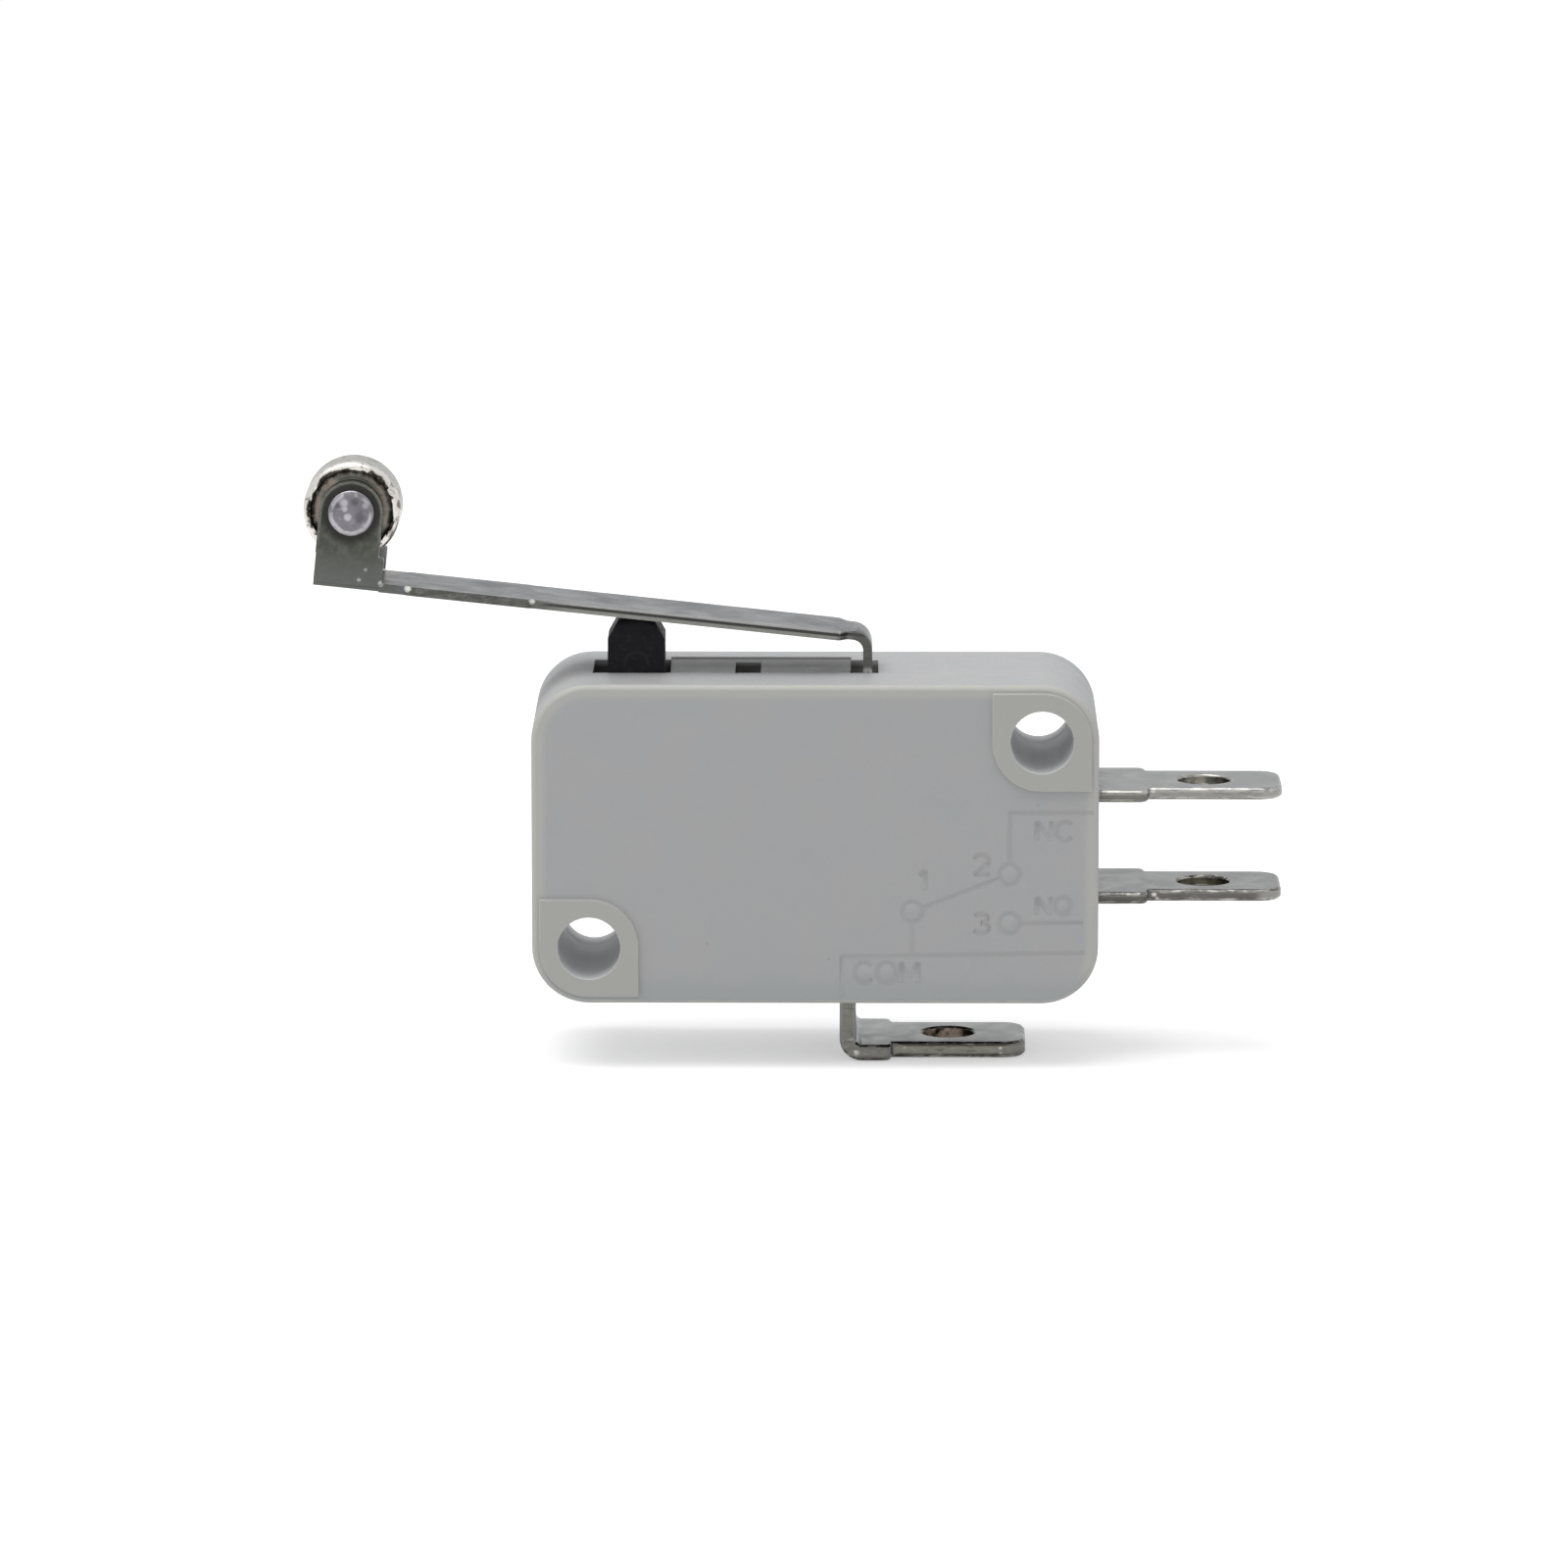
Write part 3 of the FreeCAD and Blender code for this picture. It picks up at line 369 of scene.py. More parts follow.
@dataclass(frozen=True)
class GreyMoulding(Finish):
    """Light grey moulded plastic with a fine spark-eroded grain, painted highlights on its rims and bores, and
    painted shade in its groove and openings.
    """

    name: str = "light grey moulded plastic"
    body: Colour = (0.378, 0.383, 0.387)
    cool: Colour = (0.366, 0.381, 0.390)
    warm: Colour = (0.388, 0.383, 0.388)
    rim: Colour = (0.470, 0.466, 0.436)
    band: Colour = (0.425, 0.425, 0.405)
    pad: Colour = (0.392, 0.393, 0.372)
    lower_shade: Colour = (0.338, 0.356, 0.363)
    shade: Colour = (0.26, 0.265, 0.268)
    speck: Colour = (0.20, 0.20, 0.19)
    bore: Colour = (0.64, 0.65, 0.66)
    groove: Colour = (0.095, 0.097, 0.095)
    hollow: Colour = (0.030, 0.031, 0.027)
    middle: Place = (11.1, 0.0, 5.15)
    half: Point = (13.9, 7.95)
    corner: float = 2.8

    def paint(self, b: Bench) -> None:
        """Sets out the nodes.

        Args:
            b: the material's bench.
        """
        cloud = b.noise(3.2, 3, 0.5, 0.5)
        patch = b.noise(0.85, 3, 0.6)
        grain = b.noise(0.09, 2, 0.5)
        along_y, along_z = b.along(Y), b.along(Z)
        specks = b.times(b.span(b.cells(1.15), 0.075, 0.02), b.span(b.noise(2.3, 1), 0.54, 0.60))
        in_front = b.span(along_y, FACE_Y + 0.30, FACE_Y + 0.10)
        lit = b.times(in_front, b.span(along_z, -2.0, -0.6))
        edge = b.span(b.inset(self.middle, self.half, self.corner), 0.80, 0.45)
        painted_light = b.times(b.mark(Mark.ROUNDED_EDGE), b.span(b.noise(0.8, 3, 0.6), 0.3, 0.7, 0.6, 1.0))
        groove_shade = b.times(b.span(along_y, -0.2, 1.5, 0.0, 0.95), b.span(along_y, 3.3, 2.3, 0.70, 1.0))
        deep = b.span(along_z, TOP_Z + 0.05, TOP_Z - 0.42)
        colour = b.coats(
            self.cool,
            (b.span(b.noise(2.1, 3, 0.55, 0.4), 0.40, 0.60), self.warm),
            (b.span(cloud, 0.4, 0.6, 0.1, 0.6), self.body),
            (b.times(specks, 0.55), self.speck),
            # Painted highlight: a lighter band along the upper rims of the marked face, where the light falls.
            (b.times(edge, lit), self.band),
            # Painted shade: the bottom of the marked face is darker and cooler.
            (b.times(in_front, b.span(along_z, -0.9, -2.6)), self.lower_shade),
            (b.span(along_y, FACE_Y - 0.10, FACE_Y - 0.18), self.pad),
            # Painted highlight: the rounded edges and the rim of the marked face are lighter and warmer.
            (painted_light, self.rim),
            (b.times(b.mark(Mark.ENGRAVED), 0.18), self.shade),
            # Painted highlight: the walls of the mounting holes and the cover's low wall along the groove are
            # lighter.
            (b.mark(Mark.BORE), self.bore),
            # Painted shade: the groove floor is darker, most in its middle, under the lever.
            (b.times(b.mark(Mark.GROOVE), groove_shade), self.groove),
            # Painted shade: the walls inside the openings turn nearly black below the top.
            (b.times(b.mark(Mark.HOLLOW), deep), self.hollow))
        rough = b.span(b.sum("ADD", grain, b.times(patch, 0.6)), 0.55, 1.05, 0.46, 0.60)
        b.set(Base_Color=colour, Roughness=rough, Specular_IOR_Level=0.40, IOR=1.5)
        b.relief((grain, 0.006), (b.noise(0.32, 3, 0.55), 0.006), (cloud, 0.03))


@dataclass(frozen=True)
class BlackMoulding(Finish):
    """Black moulded plastic, nearly matt, with dust in its grain, lighter rounded edges, and a faint gate mark
    whose upper arch is painted lighter as a painted highlight.
    """

    name: str = "black moulded plastic"
    body: Colour = (0.0145, 0.0143, 0.0178)
    dust_and_sheen: Colour = (0.030, 0.030, 0.035)
    mark_centre: Place = (2.3, 0.0, 13.5)
    mark_radius: float = 0.58
    mark_half: float = 0.14

    def paint(self, b: Bench) -> None:
        """Sets out the nodes.

        Args:
            b: the material's bench.
        """
        radius = b.radius(self.mark_centre)
        inner, outer = (b.span(radius, self.mark_radius + side, self.mark_radius)
                        for side in (-self.mark_half, self.mark_half))
        over = b.span(b.along(Z), self.mark_centre[Z] - 0.3, self.mark_centre[Z] + 0.1, 0.0, 0.6)
        # The mark is a faint relief; its upper arch is painted lighter as a painted highlight.
        arch = b.times(b.times(inner, outer), over)
        scuffs = b.span(b.noise(0.35, 4, 0.65, 0.4), 0.50, 0.72, 0.0, 0.7)
        # The rounded edges take the same lighter colour.
        amount = b.sum("MAXIMUM", scuffs, b.times(b.mark(Mark.ROUNDED_EDGE), 0.6))
        b.set(Base_Color=b.blend(b.sum("MAXIMUM", amount, arch), self.body, self.dust_and_sheen),
              Roughness=b.span(b.noise(0.7, 3), 0.35, 0.65, 0.46, 0.62), Specular_IOR_Level=0.06, IOR=1.5)
        b.relief((b.noise(0.08, 2), 0.004), (b.noise(0.5, 2), 0.012), (arch, 0.02))


@dataclass(frozen=True)
class PlatedLeverSteel(Finish):
    """Nickel-plated spring steel, rolled along its length, with sheared edges."""

    name: str = "plated lever steel"
    flat: Colour = (0.086, 0.092, 0.101)
    pale: Colour = (0.108, 0.114, 0.121)
    bend: Colour = (0.072, 0.072, 0.067)
    lip: Colour = (0.185, 0.187, 0.186)
    inside: Colour = (0.40, 0.40, 0.39)
    sheared: Colour = (0.074, 0.075, 0.069)
    sheared_pale: Colour = (0.150, 0.150, 0.140)
    upper: Colour = (0.300, 0.300, 0.290)
    line: Colour = (0.044, 0.044, 0.041)
    lower: Colour = (0.205, 0.204, 0.190)
    glint: Colour = (0.62, 0.62, 0.60)
    fork: Colour = (0.060, 0.063, 0.054)
    fork_pale: Colour = (0.096, 0.098, 0.086)
    fork_low: Colour = (0.108, 0.112, 0.106)
    ear_rim_highlight: Colour = (0.135, 0.140, 0.128)
    pin_shadow: Colour = (0.022, 0.021, 0.020)
    fork_from: float = -9.3
    half_width: float = 2.1
    strip_point: Place = (2.4, 0.0, 16.084)
    ear_radius: float = 1.56
    # Painted glint spots: place, reach and strength.
    corners: tuple[tuple[Place, float, float], ...] = (
        ((-8.92, -2.15, 17.40), 0.24, 1.0), ((-2.80, -2.15, 16.76), 0.22, 0.95), ((12.35, -2.0, 15.22), 0.16, 0.5),
        ((13.665, -1.40, 13.12), 0.34, 0.6), ((-10.22, -2.05, 17.62), 0.20, 0.65),
        ((-10.97, -2.02, 18.31), 0.12, 0.30), ((-11.30, -2.02, 17.81), 0.14, 0.35))

    def edge_colour(self, b: Bench, bites: Socket) -> Feed:
        """Colours the sheared edge: torn near the fork, in clean bands near the hinge.

        Args:
            b: the material's bench.
            bites: the torn pattern.

        Returns:
            The colour socket.
        """
        across = b.height(self.strip_point, LEVER_UP)
        banded = b.coats(
            self.lower,
            (b.span(across, -0.06, 0.0), self.line),
            (b.span(across, 0.10, 0.15), self.upper),
            (b.span(bites, 0.5, 0.7, 0.0, 0.3), self.sheared))
        return b.coats(
            self.sheared,
            (b.span(bites, 0.40, 0.66, 0.0, 0.75), self.sheared_pale),
            (b.span(b.along(X), -3.2, -0.6), banded),
            (b.span(b.along(X), 12.6, 13.0, 0.0, 0.75), self.bend),
            (b.span(bites, 0.70, 0.80, 0.0, 0.45), self.glint))

    def fork_colour(self, b: Bench, bites: Socket) -> Feed:
        """Colours the fork's ears with painted light: darker than the strip as a painted reflection, a painted
        shadow round the pin that fades lower down, and a painted highlight on the rolled rim and the cut edges.

        Args:
            b: the material's bench.
            bites: the torn pattern.

        Returns:
            The colour socket.
        """
        upward = b.height(PIN, LEVER_UP)
        outward = b.node("ShaderNodeCombineXYZ", b.height(PIN, LEVER_ALONG), b.sum("MAXIMUM", upward, 0.0))
        length = b.vector("LENGTH", outward.outputs[0])
        rolled = b.times(b.span(length, self.ear_radius - 0.17, self.ear_radius - 0.08), b.span(upward, -1.7, -1.2))
        return b.coats(
            # Painted reflection: the ears are darker than the strip.
            self.fork,
            (b.span(b.noise(0.5, 5, 0.65, 0.6), 0.40, 0.68), self.fork_pale),
            # Lighter lower down, where the painted shadow fades.
            (b.span(upward, -1.6, -3.0, 0.0, 0.8), self.fork_low),
            # Painted shadow of the pin's head round the pin.
            (b.span(b.radius(PIN), 1.75, 1.25, 0.0, 0.85), self.pin_shadow),
            # Painted highlight on the ears' rolled rim.
            (b.times(rolled, b.span(bites, 0.35, 0.60, 0.45, 1.0)), self.ear_rim_highlight),
            # Painted highlight on the ears' cut edges.
            (b.times(b.mark(Mark.SHEARED), 0.5), self.sheared_pale))

    def paint(self, b: Bench) -> None:
        """Sets out the nodes.

        Args:
            b: the material's bench.
        """
        rolled = b.noise(0.16, 4, 0.65, space=b.place(stretch=(0.045, 1, 1)))
        blotch = b.noise(1.9, 4, 0.6, 0.5)
        bites = b.noise(0.26, 5, 0.7, 0.8, space=b.place(stretch=(0.5, 1, 1.3)))
        near = b.times(b.span(b.along(Y), 0.45 - self.half_width, 0.10 - self.half_width),
                       b.span(b.along(X), -8.5, -2.0, 0.15, 1.0))
        in_fork = b.span(b.along(X), self.fork_from, self.fork_from - 0.4)
        corner_glint_breakup = b.span(bites, 0.36, 0.50, 0.35, 1.0)
        edge_glint = b.times(b.mark(Mark.ROUNDED_EDGE), b.span(bites, 0.35, 0.6, 0.2, 0.6))
        colour = b.coats(
            self.flat,
            (b.span(rolled, 0.32, 0.68), self.pale),
            (b.span(blotch, 0.4, 0.65, 0.0, 0.5), self.flat),
            # Painted reflection: a lighter band along the near edge of the top face.
            (near, self.lip),
            (b.mark(Mark.SHEARED), self.edge_colour(b, bites)),
            (in_fork, self.fork_colour(b, bites)),
            # Painted highlight: the inner sides of the fork ears are much lighter.
            (b.mark(Mark.HOLLOW), self.inside),
            # Painted glints at the listed corners, broken up by the bite pattern.
            *((b.times(b.times(b.spot(corner, reach), corner_glint_breakup), strength), self.glint)
              for corner, reach, strength in self.corners),
            # Painted glint on the rounded edges, weaker on the fork.
            (b.times(edge_glint, b.span(in_fork, 0.0, 1.0, 0.7, 0.25)), self.glint))
        b.set(Base_Color=colour, Metallic=1.0,
              Roughness=b.span(b.sum("ADD", rolled, blotch), 0.7, 1.3, 0.24, 0.42))
        b.relief((rolled, 0.004), (b.times(bites, b.mark(Mark.SHEARED)), 0.04), (blotch, 0.02))


@dataclass(frozen=True)
class TurnedSteel(Finish):
    """Turned and plated steel with turning rings on its sides, a painted highlight on the tread, and painted shade
    on its sides and at the back of the tread.
    """

    name: str = "turned roller steel"
    tread: Colour = (0.66, 0.635, 0.60)
    tread_dark: Colour = (0.22, 0.195, 0.165)
    tread_back_shade: Colour = (0.30, 0.30, 0.275)
    side: Colour = (0.055, 0.049, 0.040)
    side_pale: Colour = (0.195, 0.168, 0.145)
    side_green: Colour = (0.120, 0.125, 0.105)
    pit: Colour = (0.012, 0.011, 0.009)
    rim_from: float = 2.12
    front_y: float = -1.0

    def paint(self, b: Bench) -> None:
        """Sets out the nodes.

        Args:
            b: the material's bench.
        """
        radius, rings = b.radius(PIN), b.rings(PIN, 0.17)
        spots = b.noise(0.45, 5, 0.68, 0.6)
        stain = b.noise(1.3, 3, 0.6, 0.5)
        painted_light = b.sum("ADD", b.along(Y), b.span(spots, 0.3, 0.7, -0.3, 0.3))
        tread = b.coats(
            self.tread,
            # Painted shade: the tread is darker towards its back.
            (b.span(painted_light, self.front_y - 0.2, self.front_y + 0.2), self.tread_back_shade),
            (b.span(spots, 0.52, 0.68), self.tread_dark))
        edge = b.sum("ADD", radius, b.span(spots, 0.3, 0.7, -0.06, 0.06))
        edge = b.sum("ADD", edge, b.span(stain, 0.38, 0.62, -0.12, 0.12))
        # Painted shade keeps the sides dark, and a painted highlight makes the tread bright beyond rim_from.
        colour = b.coats(
            self.side,
            (b.span(rings, 0.25, 0.85), b.blend(b.span(stain, 0.42, 0.58), self.side_pale, self.side_green)),
            (b.times(b.span(radius, 1.72, 1.92), b.span(spots, 0.42, 0.54)), self.pit),
            (b.span(edge, self.rim_from - 0.08, self.rim_from + 0.04), tread))
        b.set(Base_Color=colour, Metallic=1.0, Roughness=b.span(spots, 0.3, 0.7, 0.22, 0.40))
        b.relief((rings, 0.010), (spots, 0.015))


@dataclass(frozen=True)
class RivetMetal(Finish):
    """The pin's pale plated metal, hammered smooth, with painted highlights and painted shade spots on its head."""

    name: str = "roller pin metal"
    body: Colour = (0.175, 0.170, 0.188)
    pale: Colour = (0.44, 0.43, 0.45)
    dull: Colour = (0.085, 0.082, 0.092)
    highlight_spots: tuple[tuple[Place, float], ...] = (
        ((-12.0, -2.45, 21.70), 0.30), ((-11.95, -2.45, 21.40), 0.20), ((-11.80, -2.45, 20.98), 0.26),
        ((-10.90, -2.45, 21.55), 0.28))
    shade_spots: tuple[tuple[Place, float], ...] = (
        ((-12.35, -2.45, 21.55), 0.32), ((-11.15, -2.45, 20.95), 0.42), ((-11.45, -2.45, 21.75), 0.30))

    def paint(self, b: Bench) -> None:
        """Sets out the nodes.

        Args:
            b: the material's bench.
        """
        swirl = b.noise(1.1, 2, 0.5, 1.2)
        radius = b.radius(PIN)
        lip = b.times(b.span(radius, 0.84, 0.92), b.span(radius, 1.08, 1.0))
        colour = b.coats(
            self.body,
            (b.span(swirl, 0.50, 0.68, 0.0, 0.6), self.pale),
            # Painted shade spots on the head.
            *((b.times(b.spot(place, reach), 0.75), self.dull) for place, reach in self.shade_spots),
            # Painted highlight on a ring round the head's edge.
            (b.times(lip, b.span(swirl, 0.40, 0.55, 0.1, 0.8)), self.pale),
            # Painted highlight spots on the head.
            *((b.times(b.spot(place, reach), 0.85), self.pale) for place, reach in self.highlight_spots),
            (b.span(b.noise(0.2, 3, 0.6, 0.8), 0.5, 0.75, 0.0, 0.35), self.dull),
            # Painted highlight on the rounded edges.
            (b.times(b.mark(Mark.ROUNDED_EDGE), 0.4), self.pale))
        b.set(Base_Color=colour, Metallic=1.0, Roughness=b.span(swirl, 0.3, 0.7, 0.30, 0.44))
        b.relief((b.rings(PIN, 0.12), 0.005), (swirl, 0.05))


@dataclass(frozen=True)
class PlatedTab(Finish):
    """Silver-plated brass strip: smooth faces, sheared edges in bands, brass in the hole, with painted highlights
    and painted shade on its edges.
    """

    top_z: float
    neck_x: float
    flat: Colour
    pale: Colour
    lip: Colour
    bands: tuple[Colour, Colour, Colour]
    neck_bands: tuple[Colour, Colour, Colour]
    band_depths: tuple[float, float] = (0.24, 0.50)
    wall: Colour = (0.20, 0.185, 0.155)
    wall_dark: Colour = (0.045, 0.040, 0.030)
    wall_top_highlight: Colour = (0.42, 0.38, 0.33)
    glint: Colour = (0.55, 0.54, 0.51)
    tip_highlight: Colour = (0.30, 0.295, 0.28)
    tip_x: float = 33.0
    glints: tuple[tuple[Place, float], ...] = ()

    def banded(self, b: Bench, bands: tuple[Colour, Colour, Colour]) -> Feed:
        """Colours the cut by its depth below the upper face: the bands stand for the shear zones, and their light
        and dark lines are partly painted highlight and painted shade.

        Args:
            b: the material's bench.
            bands: the colours of the upper, middle and lower band.

        Returns:
            The colour socket.
        """
        height = b.along(Z)
        levels = (self.top_z - depth for depth in self.band_depths)
        return b.coats(bands[0], *((b.span(height, level + 0.06, level - 0.06), band)
                                   for level, band in zip(levels, bands[1:])))

    def paint(self, b: Bench) -> None:
        """Sets out the nodes.

        Args:
            b: the material's bench.
        """
        cloud = b.noise(1.7, 4, 0.6, 0.4)
        scratch = b.noise(0.14, 3, 0.6, space=b.place(stretch=(0.12, 1, 1)))
        tear = b.noise(0.24, 5, 0.70, 0.7, space=b.place(stretch=(0.30, 1, 1.3)))
        torn = b.span(tear, 0.40, 0.54, 0.25, 0.95)
        cut = b.coats(
            self.banded(b, self.bands),
            (b.span(b.along(X), self.neck_x + 0.1, self.neck_x - 0.1), self.banded(b, self.neck_bands)),
            (b.span(tear, 0.48, 0.34, 0.0, 0.5), self.wall_dark),
            (b.span(tear, 0.56, 0.72, 0.0, 0.4), self.glint),
            # Painted highlight near the tip of the cut.
            (b.span(b.along(X), self.tip_x - 0.3, self.tip_x + 0.3, 0.0, 0.7), self.tip_highlight))
        wall = b.coats(
            self.wall_dark,
            (b.span(b.noise(0.8, 3, 0.6), 0.42, 0.56), self.wall),
            # Painted highlight on the top of the hole's wall.
            (b.span(b.along(Z), self.top_z - 0.16, self.top_z - 0.02, 0.0, 0.6), self.wall_top_highlight))
        colour = b.coats(
            self.flat,
            (b.span(cloud, 0.36, 0.66), self.pale),
            (b.span(scratch, 0.56, 0.72, 0.0, 0.4), self.pale),
            (b.mark(Mark.SHEARED), cut),
            # Painted light on the chamfers: a light line on the upper tab, a dark line on the lower and common
            # tabs.
            (b.mark(Mark.CHAMFER), b.blend(b.span(tear, 0.46, 0.64, 0.0, 0.6), self.lip, self.glint)),
            (b.mark(Mark.BORE), wall),
            # Painted glints at the listed places, broken up by the tear pattern.
            *((b.times(b.spot(place, reach), torn), self.glint) for place, reach in self.glints),
            # Painted glint on the rounded edges.
            (b.times(b.mark(Mark.ROUNDED_EDGE), b.span(tear, 0.42, 0.62, 0.0, 0.4)), self.glint))
        b.set(Base_Color=colour, Metallic=1.0, Roughness=b.span(cloud, 0.3, 0.7, 0.26, 0.40))
        b.relief((scratch, 0.003), (b.times(tear, b.mark(Mark.SHEARED)), 0.035), (cloud, 0.015))


@dataclass(frozen=True)
class InnerMetal(Finish):
    """A plain metal of the hidden mechanism, with drawn or stamped texture."""

    body: Colour
    pale: Colour
    dull: Colour
    streak: Place = (0.1, 1, 1)
    roughness: tuple[float, float] = (0.22, 0.42)

    def paint(self, b: Bench) -> None:
        """Sets out the nodes.

        Args:
            b: the material's bench.
        """
        drawn = b.noise(0.15, 4, 0.6, space=b.place(stretch=self.streak))
        tarnish = b.noise(0.9, 4, 0.6, 0.5)
        colour = b.coats(
            self.body,
            (b.span(drawn, 0.35, 0.7), self.pale),
            (b.span(tarnish, 0.5, 0.72, 0.0, 0.7), self.dull))
        b.set(Base_Color=colour, Metallic=1.0, Roughness=b.span(tarnish, 0.3, 0.7, *self.roughness))
        b.relief((drawn, 0.004), (tarnish, 0.01))


# Bench work on meshes


def clear_selection() -> None:
    """Leaves object mode with nothing selected."""
    if bpy.context.mode != "OBJECT":
        bpy.ops.object.mode_set(mode="OBJECT")
    bpy.ops.object.select_all(action="DESELECT")


def take(piece: Piece) -> None:
    """Makes one object the only one selected and the active one."""
    clear_selection()
    piece.select_set(True)
    bpy.context.view_layer.objects.active = piece


def set_out(name: str, data: bpy.types.ID) -> Piece:
    """Puts a new object into the scene.

    Args:
        name: its name.
        data: its mesh, curve, lamp or camera.

    Returns:
        The object.
    """
    piece = bpy.data.objects.new(name, data)
    bpy.context.scene.collection.objects.link(piece)
    return piece


def shape_copy(node: str, name: str) -> Piece:
    """Copies a node's mesh into a new piece and joins its loose triangles.

    Args:
        node: the node to copy.
        name: the new piece's name.

    Returns:
        The new piece, with flat faces in one piece each.
    """
    clear_selection()
    piece = set_out(name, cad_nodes[node].data.copy())
    piece.data.name = name
    take(piece)
    bpy.ops.object.mode_set(mode="EDIT")
    bpy.ops.mesh.select_all(action="SELECT")
    bpy.ops.mesh.remove_doubles(threshold=WELD)
    bpy.ops.mesh.dissolve_limited(angle_limit=FLAT_ANGLE, use_dissolve_boundaries=False)
    bpy.ops.object.mode_set(mode="OBJECT")
    piece.data.materials.clear()
    return piece


def one_material(piece: Piece) -> None:
    """Takes a piece's materials off and puts all its faces in the first slot."""
    for face in piece.data.polygons:
        face.material_index = 0
    piece.data.materials.clear()


def soften(piece: Piece, width: float, where: Callable[[Vector], float] | None = None) -> None:
    """Rounds the sharp edges and marks the new faces, which most finishes paint lighter as a painted highlight.

    Args:
        piece: the piece.
        width: the width of the rounding, in millimetres.
        where: gives an edge's share of the width from its middle, in millimetres, or None for all of it.
    """
    mesh = piece.data
    take(piece)
    bpy.ops.object.mode_set(mode="EDIT")
    bpy.context.tool_settings.mesh_select_mode = (False, True, False)
    bpy.ops.mesh.select_all(action="DESELECT")
    bpy.ops.mesh.edges_select_sharp(sharpness=SHARP_ANGLE)
    bpy.ops.object.mode_set(mode="OBJECT")
    weights = mesh.attributes.new("bevel_weight_edge", "FLOAT", "EDGE")
    for edge in mesh.edges:
        ends = [mesh.vertices[v].co for v in edge.vertices]
        middle = (ends[0] + ends[1]) / 2 / MM
        share = 1.0 if where is None else float(where(middle))
        weights.data[edge.index].value = share if edge.select else 0.0
    for place in ("surface", "painted_light"):
        mesh.materials.append(bpy.data.materials.new(f"{piece.name} {place}"))
    bevel = piece.modifiers.new("rounding", "BEVEL")
    bevel.limit_method = "WEIGHT"
    bevel.width = width * MM
    bevel.segments = ROUND_SEGMENTS
    bevel.material = 1
    bevel.use_clamp_overlap = True
    bpy.ops.object.modifier_apply(modifier=bevel.name)
    marked(piece, Mark.ROUNDED_EDGE, lambda face: face.material_index == 1)
    one_material(piece)


def marked(piece: Piece, name: Mark, value: Callable[[Face], float]) -> None:
    """Writes a value on every face.

    Args:
        piece: the piece.
        name: the value's name.
        value: gives a face's value, with True as 1; a face keeps the larger of its old and new value.
    """
    mesh = piece.data
    old = mesh.attributes.get(name.value)
    values = [0.0] * len(mesh.polygons)
    if old:
        old.data.foreach_get("value", values)
    else:
        old = mesh.attributes.new(name.value, "FLOAT", "FACE")
    old.data.foreach_set("value", [max(kept, float(value(face))) for kept, face in zip(values, mesh.polygons)])


def settle(piece: Piece, finish: bpy.types.Material, body: Body, node: str) -> None:
    """Smooths, paints and hangs a finished piece in place of its node.

    Args:
        piece: the piece.
        finish: its material.
        body: the body that it moves with.
        node: the node that it stands for.
    """
    take(piece)
    bpy.ops.object.shade_smooth_by_angle(angle=SMOOTH_ANGLE)
    weighted = piece.modifiers.new("flat faces", "WEIGHTED_NORMAL")
    weighted.keep_sharp = True
    weighted.weight = FLAT_WEIGHT
    bpy.ops.object.modifier_apply(modifier=weighted.name)
    piece.data.materials.clear()
    piece.data.materials.append(finish)
    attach(piece, body.value)
    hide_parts(node)
    log.info("%s: %d faces, on %s", piece.name, len(piece.data.polygons), body.value)


def cut_away(piece: Piece, cutter: Piece, name: str, lines: bool = False) -> None:
    """Cuts one piece out of another and throws the cutter away.

    Args:
        piece: the piece that is cut.
        cutter: what is cut out of it.
        name: the cut's name.
        lines: whether the cutter is a net of crossing lines that pass their material on.
    """
    take(piece)
    cut = piece.modifiers.new(name, "BOOLEAN")
    cut.operation = "DIFFERENCE"
    cut.solver = "EXACT"
    cut.use_self = lines
    cut.material_mode = "TRANSFER" if lines else "INDEX"
    cut.object = cutter
    bpy.ops.object.modifier_apply(modifier=cut.name)
    bpy.data.objects.remove(cutter)


# Sub-assemblies


